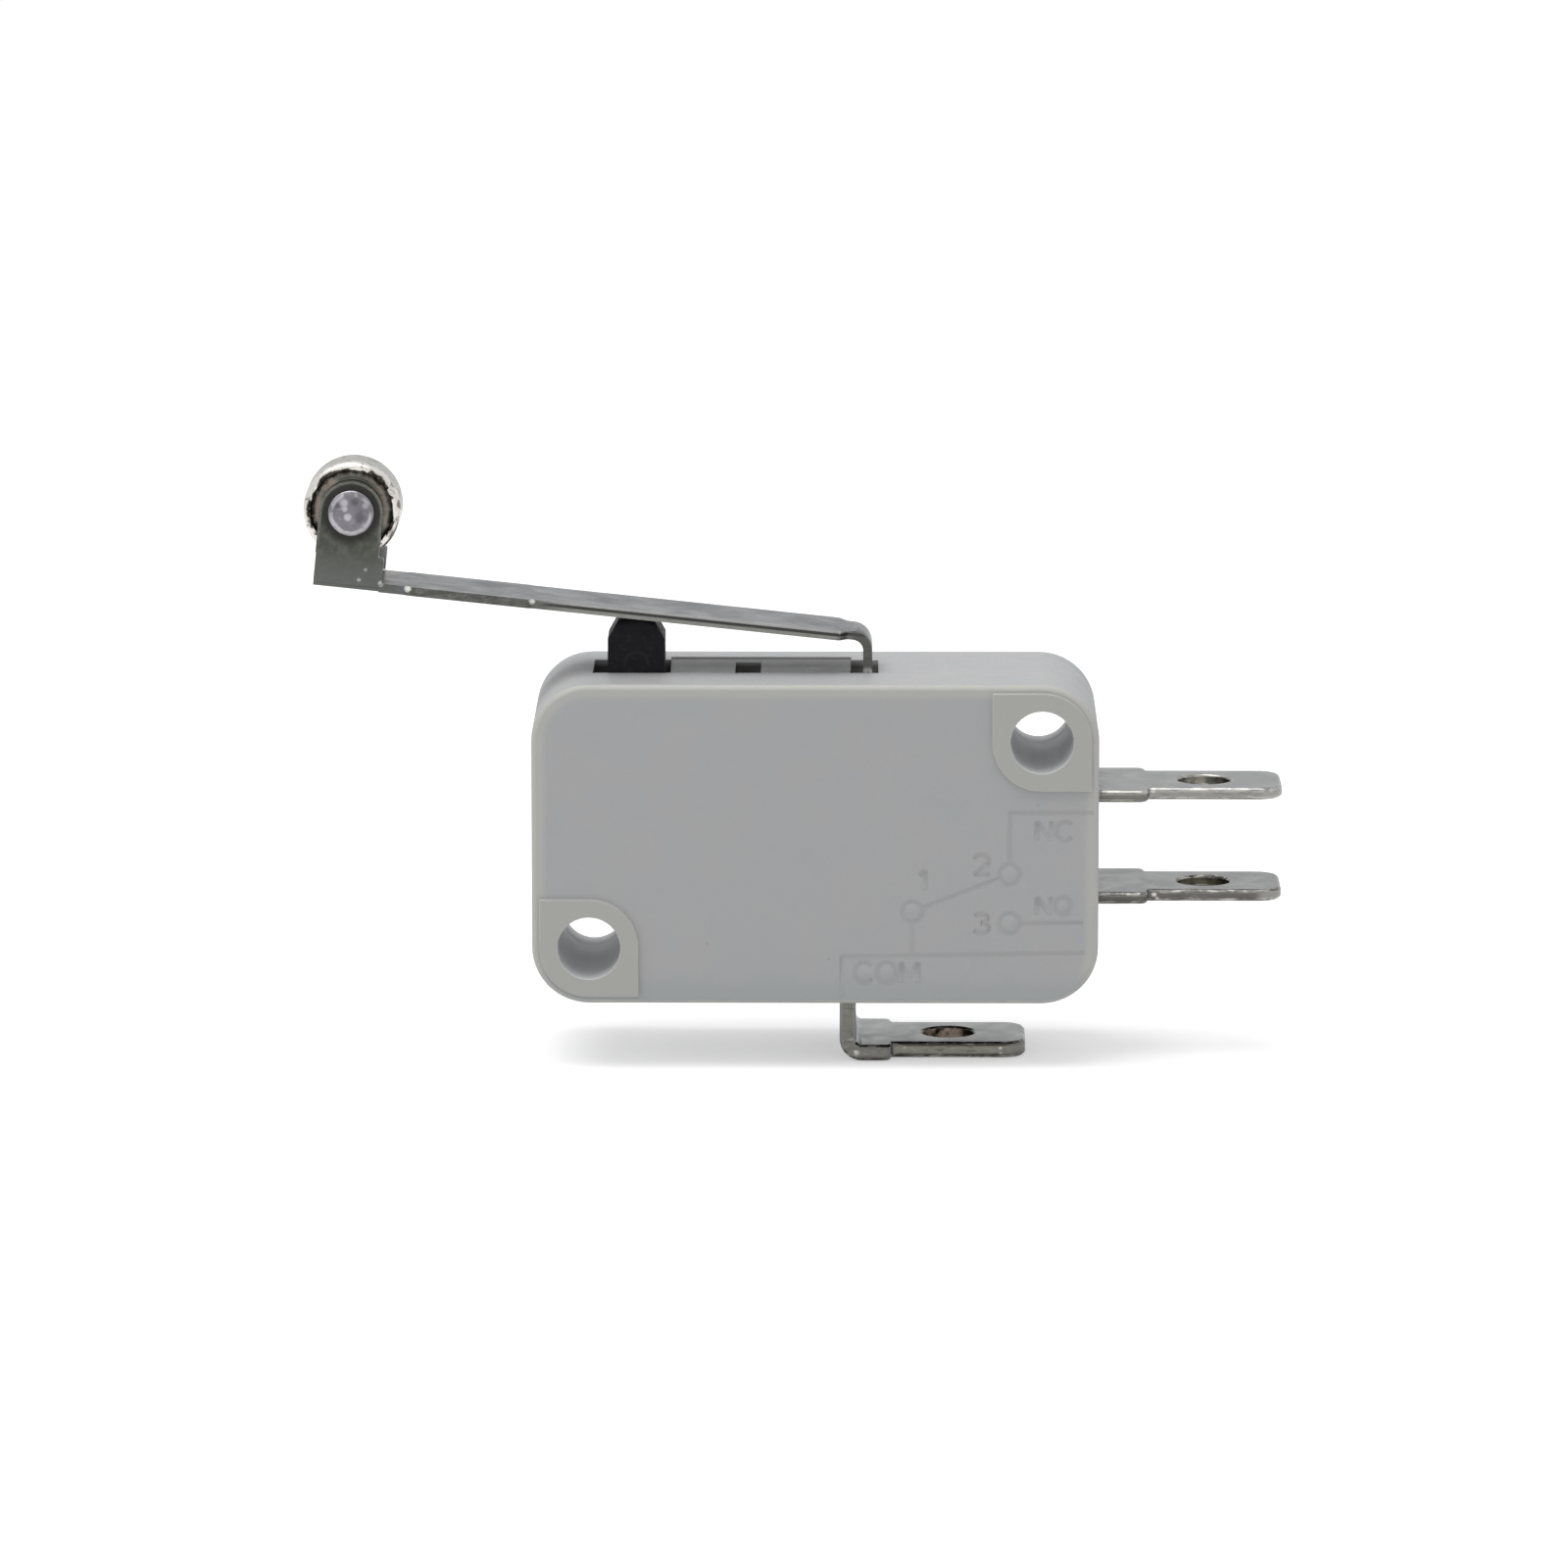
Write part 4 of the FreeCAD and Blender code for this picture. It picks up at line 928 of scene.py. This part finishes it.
@dataclass
class CircuitMarks:
    """The switching diagram, cut into the marked face as fine V-shaped lines."""

    half_width: float = 0.13
    letter_half_width: float = 0.15
    flatten: float = 0.45
    corner_angle: float = 28.0
    ring_radius: float = 0.5
    ring_step: int = 15
    common_ring: Point = (15.87, 1.85)
    closed_ring: Point = (20.64, 3.72)
    open_ring: Point = (20.65, 1.27)
    closed_line_end: Point = (24.73, 6.80)
    open_line_end: Point = (24.23, 1.32)
    common_line: tuple[Point, Point] = ((12.41, -0.41), (24.29, -0.20))
    common_meet: float = -0.36
    common_drop: float = -2.4
    words: tuple[tuple[str, Point, Point], ...] = (
        ("NC", (21.90, 5.43), (23.73, 6.36)),
        ("NO", (21.92, 1.71), (23.65, 2.59)),
        ("COM", (13.03, -1.73), (16.21, -0.70)),
        ("1", (16.22, 2.93), (16.58, 3.91)),
        ("2", (18.84, 3.72), (19.66, 4.70)),
        ("3", (18.85, 0.78), (19.67, 1.76)),
    )
    letter_gap: float = 0.2

    def letters(self) -> dict[str, list[list[Point]]]:
        """Gives each letter's strokes in a unit box.

        Returns:
            Strokes by letter; a stroke that ends where it starts is closed.
        """
        def arc(start: float, end: float, centre: Point, radii: Point, count: int = 12) -> list[Point]:
            """Sets out points along part of an oval, in degrees."""
            turns = [math.radians(start + (end - start) * i / count) for i in range(count + 1)]
            return [(centre[0] + radii[0] * math.cos(t), centre[1] + radii[1] * math.sin(t)) for t in turns]

        return {
            "N": [[(0.06, 0), (0.06, 1), (0.94, 0), (0.94, 1)]],
            "C": [arc(42, 318, (0.53, 0.5), (0.5, 0.5), 14)],
            "O": [arc(0, 360, (0.5, 0.5), (0.5, 0.5), 18)],
            "M": [[(0.04, 0), (0.04, 1), (0.5, 0.28), (0.96, 1), (0.96, 0)]],
            "1": [[(0.0, 0.74), (0.75, 1), (0.75, 0)]],
            "2": [arc(165, -28, (0.5, 0.70), (0.44, 0.30), 9) + [(0.06, 0.0), (0.98, 0.0)]],
            "3": [arc(150, -85, (0.46, 0.755), (0.42, 0.245), 8) + arc(85, -150, (0.46, 0.265), (0.48, 0.265), 8)],
        }

    def runs(self, line: list[Point]) -> list[list[Point]]:
        """Splits a line at its sharp corners.

        Args:
            line: the line's points.

        Returns:
            The smooth runs, each with both of its end points.
        """
        parts = [[line[0]]]
        for before, here, after in zip(line, line[1:], line[2:]):
            parts[-1].append(here)
            turn = (Vector(here) - Vector(before)).angle(Vector(after) - Vector(here))
            if math.degrees(turn) > self.corner_angle:
                parts.append([here])
        parts[-1].append(line[-1])
        return parts

    def strokes(self) -> list[tuple[list[Point], float]]:
        """Lists every line of the diagram on the face.

        Returns:
            Pairs of the points and the half width, in millimetres.
        """
        reach = self.ring_radius
        lean = Vector(self.closed_ring) - Vector(self.common_ring)
        step = lean.normalized() * reach
        arm_start = Vector(self.common_ring) + step
        arm_end = Vector(self.closed_ring) - step
        common_x, common_z = self.common_ring
        closed_x, closed_z = self.closed_ring
        open_x, open_z = self.open_ring
        lines: list[list[Point]] = [
            [tuple(arm_start), tuple(arm_end)],
            [(closed_x, closed_z + reach), (closed_x, self.closed_line_end[1]), self.closed_line_end],
            [(open_x + reach, open_z), self.open_line_end],
            [(common_x, common_z - reach), (common_x, self.common_meet)],
            [(self.common_line[0][0], self.common_drop), *self.common_line],
        ]
        for ring in (self.common_ring, self.closed_ring, self.open_ring):
            turns = [math.radians(turn) for turn in range(0, 361, self.ring_step)]
            lines.append([(ring[0] + reach * math.cos(t), ring[1] + reach * math.sin(t)) for t in turns])
        result = [(run, self.half_width) for line in lines for run in self.runs(line)]
        shapes = self.letters()
        for word, low, high in self.words:
            width = (high[0] - low[0] - self.letter_gap * (len(word) - 1)) / len(word)
            for i, letter in enumerate(word):
                left = low[0] + i * (width + self.letter_gap)
                for stroke in shapes[letter]:
                    line = [(left + x * width, low[1] + y * (high[1] - low[1])) for x, y in stroke]
                    result.extend((run, self.letter_half_width) for run in self.runs(line))
        return result

    def cutter(self) -> Piece:
        """Builds one mesh with all the lines as bars of square section set on a corner.

        Returns:
            The cutter.
        """
        bars = []
        for number, (points, half_width) in enumerate(self.strokes()):
            closed = (Vector(points[0]) - Vector(points[-1])).length < SAME_POINT
            run = points[:-1] if closed else points
            curve = bpy.data.curves.new(f"line {number}", "CURVE")
            curve.dimensions = "3D"
            curve.bevel_depth = half_width * MM
            curve.bevel_resolution = 0
            curve.use_fill_caps = not closed
            spline = curve.splines.new("POLY")
            spline.points.add(len(run) - 1)
            for point, (x, z) in zip(spline.points, run):
                point.co = (x * MM, FACE_Y * MM, z * MM, 1)
                point.tilt = 0
            spline.use_cyclic_u = closed
            bars.append(set_out(curve.name, curve))
        clear_selection()
        for bar in bars:
            bar.select_set(True)
        bpy.context.view_layer.objects.active = bars[0]
        bpy.ops.object.convert(target="MESH")
        bpy.ops.object.join()
        cutter = bpy.context.view_layer.objects.active
        bpy.ops.object.mode_set(mode="EDIT")
        bpy.ops.mesh.select_all(action="SELECT")
        bpy.ops.transform.resize(value=(1, self.flatten, 1), center_override=(0, FACE_Y * MM, 0))
        bpy.ops.object.mode_set(mode="OBJECT")
        return cutter

    def cut_into(self, piece: Piece) -> None:
        """Cuts the lines into a piece and marks the cut faces.

        Args:
            piece: the moulding that carries the diagram.
        """
        cutter = self.cutter()
        for target, name in ((piece, "whole"), (cutter, "cut")):
            one_material(target)
            target.data.materials.append(bpy.data.materials.new(name))
        cut_away(piece, cutter, "engraving", lines=True)
        is_cut = [m is not None and m.name.startswith("cut") for m in piece.data.materials]
        marked(piece, Mark.ENGRAVED, lambda face: is_cut[face.material_index])
        log.info("diagram: %d cut faces", sum(is_cut[face.material_index] for face in piece.data.polygons))
        one_material(piece)


@dataclass
class Housing:
    """The case with its engraved diagram, and the cover."""

    edge_round: float = 0.07
    cover_round: float = 0.11
    cover_share: float = 0.55
    parting_y: float = 3.15
    rim: float = 0.32
    rim_highlight: float = 0.75
    rim_slant: Point = (0.12, 0.97)
    wall_highlight: float = 0.8
    wall_depth: float = 0.2
    wall_slack: float = 0.06
    groove_depth: float = 0.16
    groove_slack: float = 0.05
    skin: float = 0.01
    slots_x: tuple[Point, ...] = ((0.12, 3.96), (7.12, 8.42), (12.82, 14.21))
    slot_y: Point = (-1.47, 2.32)
    groove_y: float = -1.32
    holes: tuple[Point, ...] = ((0.0, 0.0), (22.2, 10.3))
    bore_radius: float = 1.55
    slot_floor: float = 11.7
    round_below_y: float = -0.9
    round_above_z: float = 12.5
    marks: CircuitMarks = field(default_factory=CircuitMarks)

    def rim_highlight_of(self, face: Face) -> float:
        """Gives a face of the rounded rim its share of the painted highlight."""
        near_rim = face.center.y / MM < FACE_Y + self.rim
        return self.rim_highlight if near_rim and self.rim_slant[0] < abs(face.normal.y) < self.rim_slant[1] else 0.0

    def in_hollow(self, face: Face) -> bool:
        """Tells a wall of the plunger hole, the spare slot or the lever slot."""
        place = face.center / MM
        deep = self.slot_floor < place.z < TOP_Z - self.skin and self.slot_y[0] < place.y < self.slot_y[1]
        return deep and abs(face.normal.z) < FACING and any(low < place.x < high for low, high in self.slots_x)

    def is_between(self, x: float, slack: float = 0.0) -> bool:
        """Tells whether a place along X lies between the first and the last opening."""
        return self.slots_x[0][1] - slack < x < self.slots_x[-1][0] + slack

    def in_groove(self, face: Face) -> bool:
        """Tells a face of the shallow groove between the openings."""
        place = face.center / MM
        deep = TOP_Z - self.groove_depth < place.z < TOP_Z - self.skin
        wide = self.groove_y < place.y < self.parting_y + self.skin
        return deep and wide and self.is_between(place.x, self.groove_slack)

    def beside_groove(self, face: Face) -> float:
        """Tells the cover's low wall along the groove, which is painted lighter with the bore colour as a painted
        highlight.
        """
        place = face.center / MM
        on_wall = abs(place.y - self.parting_y) < self.wall_slack and TOP_Z - self.wall_depth < place.z
        return self.wall_highlight if self.is_between(place.x) and on_wall and abs(face.normal.y) > FACING else 0.0

    def in_bore(self, face: Face) -> bool:
        """Tells the wall of a mounting hole."""
        place = face.center / MM
        near = any(math.hypot(place.x - x, place.z - z) < self.bore_radius + 0.2 for x, z in self.holes)
        return near and abs(face.normal.y) < FACING

    def cover_edge(self, place: Vector) -> float:
        """Gives how far the cover's edges are rounded: more along the groove."""
        if place.y < self.parting_y - self.groove_slack:
            return 0.0
        at_groove = place.y < self.parting_y + self.groove_slack and place.z > TOP_Z - self.groove_slack
        return 1.0 if at_groove and self.is_between(place.x) else self.cover_share

    def make(self) -> None:
        """Builds both mouldings."""
        plastic = GreyMoulding().make()
        case = shape_copy("case", "case_moulding")
        # Marks for painted shade in the openings and the groove, and for the bores' painted highlight.
        marked(case, Mark.HOLLOW, self.in_hollow)
        marked(case, Mark.GROOVE, self.in_groove)
        marked(case, Mark.BORE, self.in_bore)
        soften(case, self.edge_round, where=lambda p: p.y < self.round_below_y or p.z > self.round_above_z)
        # The rim's slanted faces also take the painted highlight.
        marked(case, Mark.ROUNDED_EDGE, self.rim_highlight_of)
        self.marks.cut_into(case)
        settle(case, plastic, Body.HOUSING, "case")
        cover = shape_copy("cover", "cover_moulding")
        marked(cover, Mark.BORE, self.in_bore)
        # The cover's low wall along the groove gets the bores' painted highlight.
        marked(cover, Mark.BORE, self.beside_groove)
        soften(cover, self.cover_round, where=self.cover_edge)
        settle(cover, plastic, Body.HOUSING, "cover")


@dataclass
class PushButton:
    """The black button under the lever."""

    edge_round: float = 0.05

    def make(self) -> None:
        """Builds the button."""
        button = shape_copy("plunger", "push_button")
        soften(button, self.edge_round)
        settle(button, BlackMoulding().make(), Body.PLUNGER, "plunger")


@dataclass
class LeverArm:
    """The stamped lever with its hook and fork."""

    edge_round: float = 0.04
    fork_from: float = -9.6
    bend_from: float = 12.95
    ear_inside: float = 1.6

    def is_sheared(self, face: Face) -> bool:
        """Tells a sheared edge face from a rolled face.

        Args:
            face: a face of the lever.

        Returns:
            True on the edges that the press tool cut.
        """
        place = face.center / MM
        sideways = abs(face.normal.y)
        if place.x < self.fork_from:
            return sideways < FACING and abs(place.y) > self.ear_inside
        if place.x > self.bend_from:
            return sideways > FACING
        return abs(face.normal.dot(Vector(LEVER_UP))) < FACING

    def is_inside(self, face: Face) -> bool:
        """Tells the inner side of a fork ear, which is painted lighter as a painted highlight."""
        place = face.center / MM
        return place.x < self.fork_from and abs(face.normal.y) > FACING and face.normal.y * place.y < 0

    def make(self) -> None:
        """Builds the lever."""
        lever = shape_copy("actuator_lever", "lever_arm")
        marked(lever, Mark.SHEARED, self.is_sheared)
        marked(lever, Mark.HOLLOW, self.is_inside)
        soften(lever, self.edge_round)
        settle(lever, PlatedLeverSteel().make(), Body.LEVER, "actuator_lever")


@dataclass
class RollerSet:
    """The turned roller and the rivet that it turns on."""

    edge_round: float = 0.05

    def make(self) -> None:
        """Builds the roller and its rivet."""
        roller = shape_copy("roller", "turned_roller")
        soften(roller, self.edge_round)
        settle(roller, TurnedSteel().make(), Body.ROLLER, "roller")
        pin = shape_copy("roller_pin", "roller_rivet")
        soften(pin, self.edge_round)
        settle(pin, RivetMetal().make(), Body.LEVER, "roller_pin")


@dataclass
class Terminals:
    """The two side terminals and the common terminal."""

    edge_round: float = 0.045
    hole_radius: float = 1.42
    wall_lean: float = 0.6
    cut_lean: float = 0.75
    bevel_lean: Point = (0.35, 0.9)
    bevel_side: float = 0.25
    tabs: tuple[tuple[str, str, float, PlatedTab], ...] = (
        ("nc_terminal", "upper_tab", 30.3, PlatedTab(
            "plated brass, bright cut", top_z=7.55, neck_x=27.5, flat=(0.176, 0.183, 0.184),
            pale=(0.215, 0.220, 0.220), lip=(0.26, 0.255, 0.24),
            bands=((0.30, 0.295, 0.28), (0.235, 0.232, 0.222), (0.225, 0.220, 0.205)),
            neck_bands=((0.22, 0.215, 0.20), (0.145, 0.140, 0.125), (0.145, 0.140, 0.125)),
            wall=(0.22, 0.205, 0.175), wall_dark=(0.10, 0.098, 0.088), wall_top_highlight=(0.30, 0.285, 0.255),
            glints=(((27.72, -2.4, 7.42), 0.17), ((33.6, -2.35, 7.50), 0.26)))),
        ("no_terminal", "lower_tab", 30.3, PlatedTab(
            "plated brass, torn cut", top_z=2.45, neck_x=27.5, flat=(0.152, 0.160, 0.161),
            pale=(0.186, 0.192, 0.192), lip=(0.125, 0.123, 0.114),
            bands=((0.130, 0.128, 0.118), (0.105, 0.102, 0.094), (0.100, 0.097, 0.087)),
            neck_bands=((0.150, 0.147, 0.135), (0.085, 0.083, 0.073), (0.075, 0.072, 0.063)),
            wall=(0.075, 0.070, 0.050), wall_dark=(0.045, 0.042, 0.030), wall_top_highlight=(0.30, 0.285, 0.25),
            glints=(((27.80, -2.4, 2.22), 0.17), ((27.95, -2.4, 2.0), 0.14), ((27.72, -2.4, 1.85), 0.12)))),
        ("com_terminal", "common_tab", 17.7, PlatedTab(
            "plated brass, dark cut", top_z=-5.25, neck_x=15.0, flat=(0.205, 0.212, 0.213),
            pale=(0.250, 0.256, 0.256), lip=(0.042, 0.041, 0.034),
            bands=((0.058, 0.056, 0.048), (0.215, 0.210, 0.185), (0.060, 0.058, 0.049)),
            neck_bands=((0.155, 0.152, 0.138), (0.175, 0.172, 0.156), (0.105, 0.102, 0.090)),
            band_depths=(0.22, 0.60), wall=(0.36, 0.29, 0.235), wall_dark=(0.022, 0.018, 0.014),
            wall_top_highlight=(0.34, 0.30, 0.26), tip_highlight=(0.20, 0.195, 0.18), tip_x=20.6,
            glints=(((13.15, -3.1, -5.62), 0.20), ((20.25, -2.4, -5.55), 0.12), ((20.28, -2.4, -5.80), 0.12)))))

    def make_tab(self, node: str, name: str, hole_x: float, finish: PlatedTab) -> None:
        """Builds one terminal.

        Args:
            node: the terminal's node.
            name: the new piece's name.
            hole_x: where its hole is along X.
            finish: its finish.
        """
        tab = shape_copy(node, name)
        centre = Vector((hole_x, 0.0))
        bent = node == "com_terminal"

        def in_bore(face: Face) -> bool:
            """Tells a face of the hole's wall."""
            near = (face.center.xy / MM - centre).length < self.hole_radius
            return near and abs(face.normal.z) < self.wall_lean

        def is_sheared(face: Face) -> bool:
            """Tells an edge that the press tool cut."""
            at_tip = face.normal.x > self.wall_lean and (not bent or face.center.x / MM > centre.x)
            return abs(face.normal.y) > self.cut_lean or at_tip

        def is_chamfer(face: Face) -> bool:
            """Tells a face of the bevel between a flat face and a cut edge."""
            low, high = self.bevel_lean
            return low < abs(face.normal.z) < high and abs(face.normal.y) > self.bevel_side

        marked(tab, Mark.BORE, in_bore)
        marked(tab, Mark.SHEARED, is_sheared)
        marked(tab, Mark.CHAMFER, is_chamfer)
        soften(tab, self.edge_round)
        settle(tab, finish.make(), Body.HOUSING, node)

    def make(self) -> None:
        """Builds the three terminals."""
        for tab in self.tabs:
            self.make_tab(*tab)


@dataclass
class Mechanism:
    """The snap mechanism inside the housing, which keeps its own solids."""

    finishes: dict[str, InnerMetal] = field(default_factory=lambda: {
        "bracket_brass": InnerMetal("bracket brass", (0.62, 0.47, 0.21), (0.74, 0.60, 0.32), (0.36, 0.25, 0.11)),
        "blade_copper": InnerMetal("blade beryllium copper", (0.66, 0.40, 0.22), (0.80, 0.55, 0.34),
                                   (0.38, 0.20, 0.11)),
        "contact_silver": InnerMetal("contact silver", (0.78, 0.77, 0.73), (0.88, 0.87, 0.84), (0.42, 0.39, 0.33),
                                     streak=(1, 1, 1)),
        "spring_steel": InnerMetal("spring steel", (0.42, 0.42, 0.41), (0.60, 0.60, 0.58), (0.22, 0.21, 0.19),
                                   streak=(1, 0.3, 0.3)),
    })
    parts: dict[str, str] = field(default_factory=lambda: {
        "pivot_bracket": "bracket_brass", "bracket_rivet": "bracket_brass",
        "moving_blade": "blade_copper", "moving_contact": "contact_silver", "nc_contact": "contact_silver",
        "no_contact": "contact_silver", "coil_spring": "spring_steel",
    })
    hook_slot: tuple[Place, Place] = ((3.1, -0.31, 4.15), (4.6, 0.31, 6.2))
    slot_round: float = 0.06
    slot_slack: Point = (0.35, 0.05)

    def in_slot(self, place: Vector) -> float:
        """Tells the edges of the slot that the spring's hook swings in."""
        below, above = self.slot_slack
        return float(all(a - below < v < b + above for a, v, b in zip(self.hook_slot[0], place, self.hook_slot[1])))

    def cut_slot(self, lever: Piece) -> None:
        """Opens the spring's hole into a slot, so that the hook has room at full press.

        Args:
            lever: the inner lever's copy.
        """
        low, high = self.hook_slot
        clear_selection()
        bpy.ops.mesh.primitive_cube_add(size=1.0, location=[(a + b) / 2 * MM for a, b in zip(low, high)])
        cutter = bpy.context.object
        cutter.scale = [(b - a) * MM for a, b in zip(low, high)]
        take(cutter)
        bpy.ops.object.transform_apply(location=True, rotation=True, scale=True)
        cut_away(lever, cutter, "hook slot")

    def make(self) -> None:
        """Gives each inner node its finish, and the inner lever its slot for the spring."""
        made = {slot: finish.make() for slot, finish in self.finishes.items()}
        for node, slot in self.parts.items():
            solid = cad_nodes[node]
            for place in solid.material_slots:
                place.link = "OBJECT"
                place.material = made[slot]
            log.info("%s: %s", node, made[slot].name)
        lever = shape_copy("inner_lever", "inner_lever_slotted")
        self.cut_slot(lever)
        soften(lever, self.slot_round, where=self.in_slot)
        settle(lever, made["spring_steel"], Body.INNER_LEVER, "inner_lever")


@dataclass
class Studio:
    """The floor, the light and the camera."""

    floor_z: float = -6.1
    floor_size: float = 8.0
    floor_grey: Colour = (0.8, 0.8, 0.8)
    floor_glow: float = 0.42
    sky_strength: float = 0.60
    camera_place: Place = (13.145, -456.086, 94.479)
    camera_turn: Place = (math.pi / 2 - 0.188936, 0.0, 0.007906)
    lens: float = 215.58
    sensor: float = 36.0
    reach: float = 50.0
    aim: Place = (8, 0, 5)
    lamps: tuple[tuple[str, Place, float, float], ...] = (
        ("overhead", (-90, -60, 450), 380, 1.45), ("front fill", (-40, -460, 150), 300, 0.08))

    def hides_from_light(self, tree: Tree) -> Socket:
        """Finds the rays that should see plain white.

        Args:
            tree: the node tree.

        Returns:
            1 for camera, glossy and transmission rays and 0 for the others.
        """
        path = tree.node("ShaderNodeLightPath").outputs
        seen = tree.sum("MAXIMUM", path["Is Camera Ray"], path["Is Glossy Ray"])
        return tree.sum("MAXIMUM", seen, path["Is Transmission Ray"])

    def make_world(self) -> None:
        """Lights the scene evenly and shows white behind the object."""
        world = bpy.data.worlds.new("studio")
        bpy.context.scene.world = world
        world.use_nodes = True
        tree = Tree(world.node_tree)
        light = tree.node("ShaderNodeBackground", WHITE, self.sky_strength)
        white = tree.node("ShaderNodeBackground", WHITE)
        mix = tree.node("ShaderNodeMixShader", self.hides_from_light(tree), light.outputs[0], white.outputs[0])
        tree.node("ShaderNodeOutputWorld", mix.outputs[0])

    def make_floor(self) -> None:
        """Lays a plain pale floor that keeps the object's shadow."""
        clear_selection()
        bpy.ops.mesh.primitive_plane_add(size=self.floor_size, location=(0, 0, self.floor_z * MM))
        floor = bpy.context.object
        floor.name = "floor"
        material = bpy.data.materials.new("pale floor")
        material.use_nodes = True
        tree = Tree(material.node_tree)
        diffuse = tree.node("ShaderNodeBsdfDiffuse", self.floor_grey)
        glow = tree.node("ShaderNodeEmission", WHITE, tree.times(self.hides_from_light(tree), self.floor_glow))
        both = tree.node("ShaderNodeAddShader", diffuse.outputs[0], glow.outputs[0])
        tree.node("ShaderNodeOutputMaterial", both.outputs[0])
        floor.data.materials.append(material)

    def make_lamp(self, name: str, place: Place, size: float, power: float) -> None:
        """Hangs one soft lamp.

        Args:
            name: the lamp's name.
            place: where it hangs, in millimetres.
            size: the width of its panel, in millimetres.
            power: its power in watts.
        """
        lamp = bpy.data.lights.new(name, "AREA")
        lamp.size = size * MM
        lamp.energy = power
        holder = set_out(name, lamp)
        holder.location = Vector(place) * MM
        holder.rotation_euler = (Vector(self.aim) - Vector(place)).to_track_quat("-Z", "Y").to_euler()

    def make_camera(self) -> None:
        """Sets the camera where the photographer stood."""
        lens = bpy.data.cameras.new("camera")
        lens.lens = self.lens
        lens.sensor_width = self.sensor
        lens.clip_end = self.reach
        camera = set_out("camera", lens)
        camera.location = Vector(self.camera_place) * MM
        camera.rotation_euler = self.camera_turn
        bpy.context.scene.camera = camera

    def make(self) -> None:
        """Builds the whole studio."""
        bpy.context.scene.view_settings.view_transform = "Standard"
        self.make_world()
        self.make_floor()
        for lamp in self.lamps:
            self.make_lamp(*lamp)
        self.make_camera()


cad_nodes: dict[str, Piece] = {}


def main() -> None:
    """Builds the studio and every piece."""
    logging.basicConfig(level=logging.INFO, format="%(message)s")
    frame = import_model()
    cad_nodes.update(frame["nodes"])
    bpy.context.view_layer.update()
    Studio().make()
    for part in (Housing(), PushButton(), LeverArm(), RollerSet(), Terminals(), Mechanism()):
        part.make()
    clear_selection()


if __name__ == "__main__":
    main()
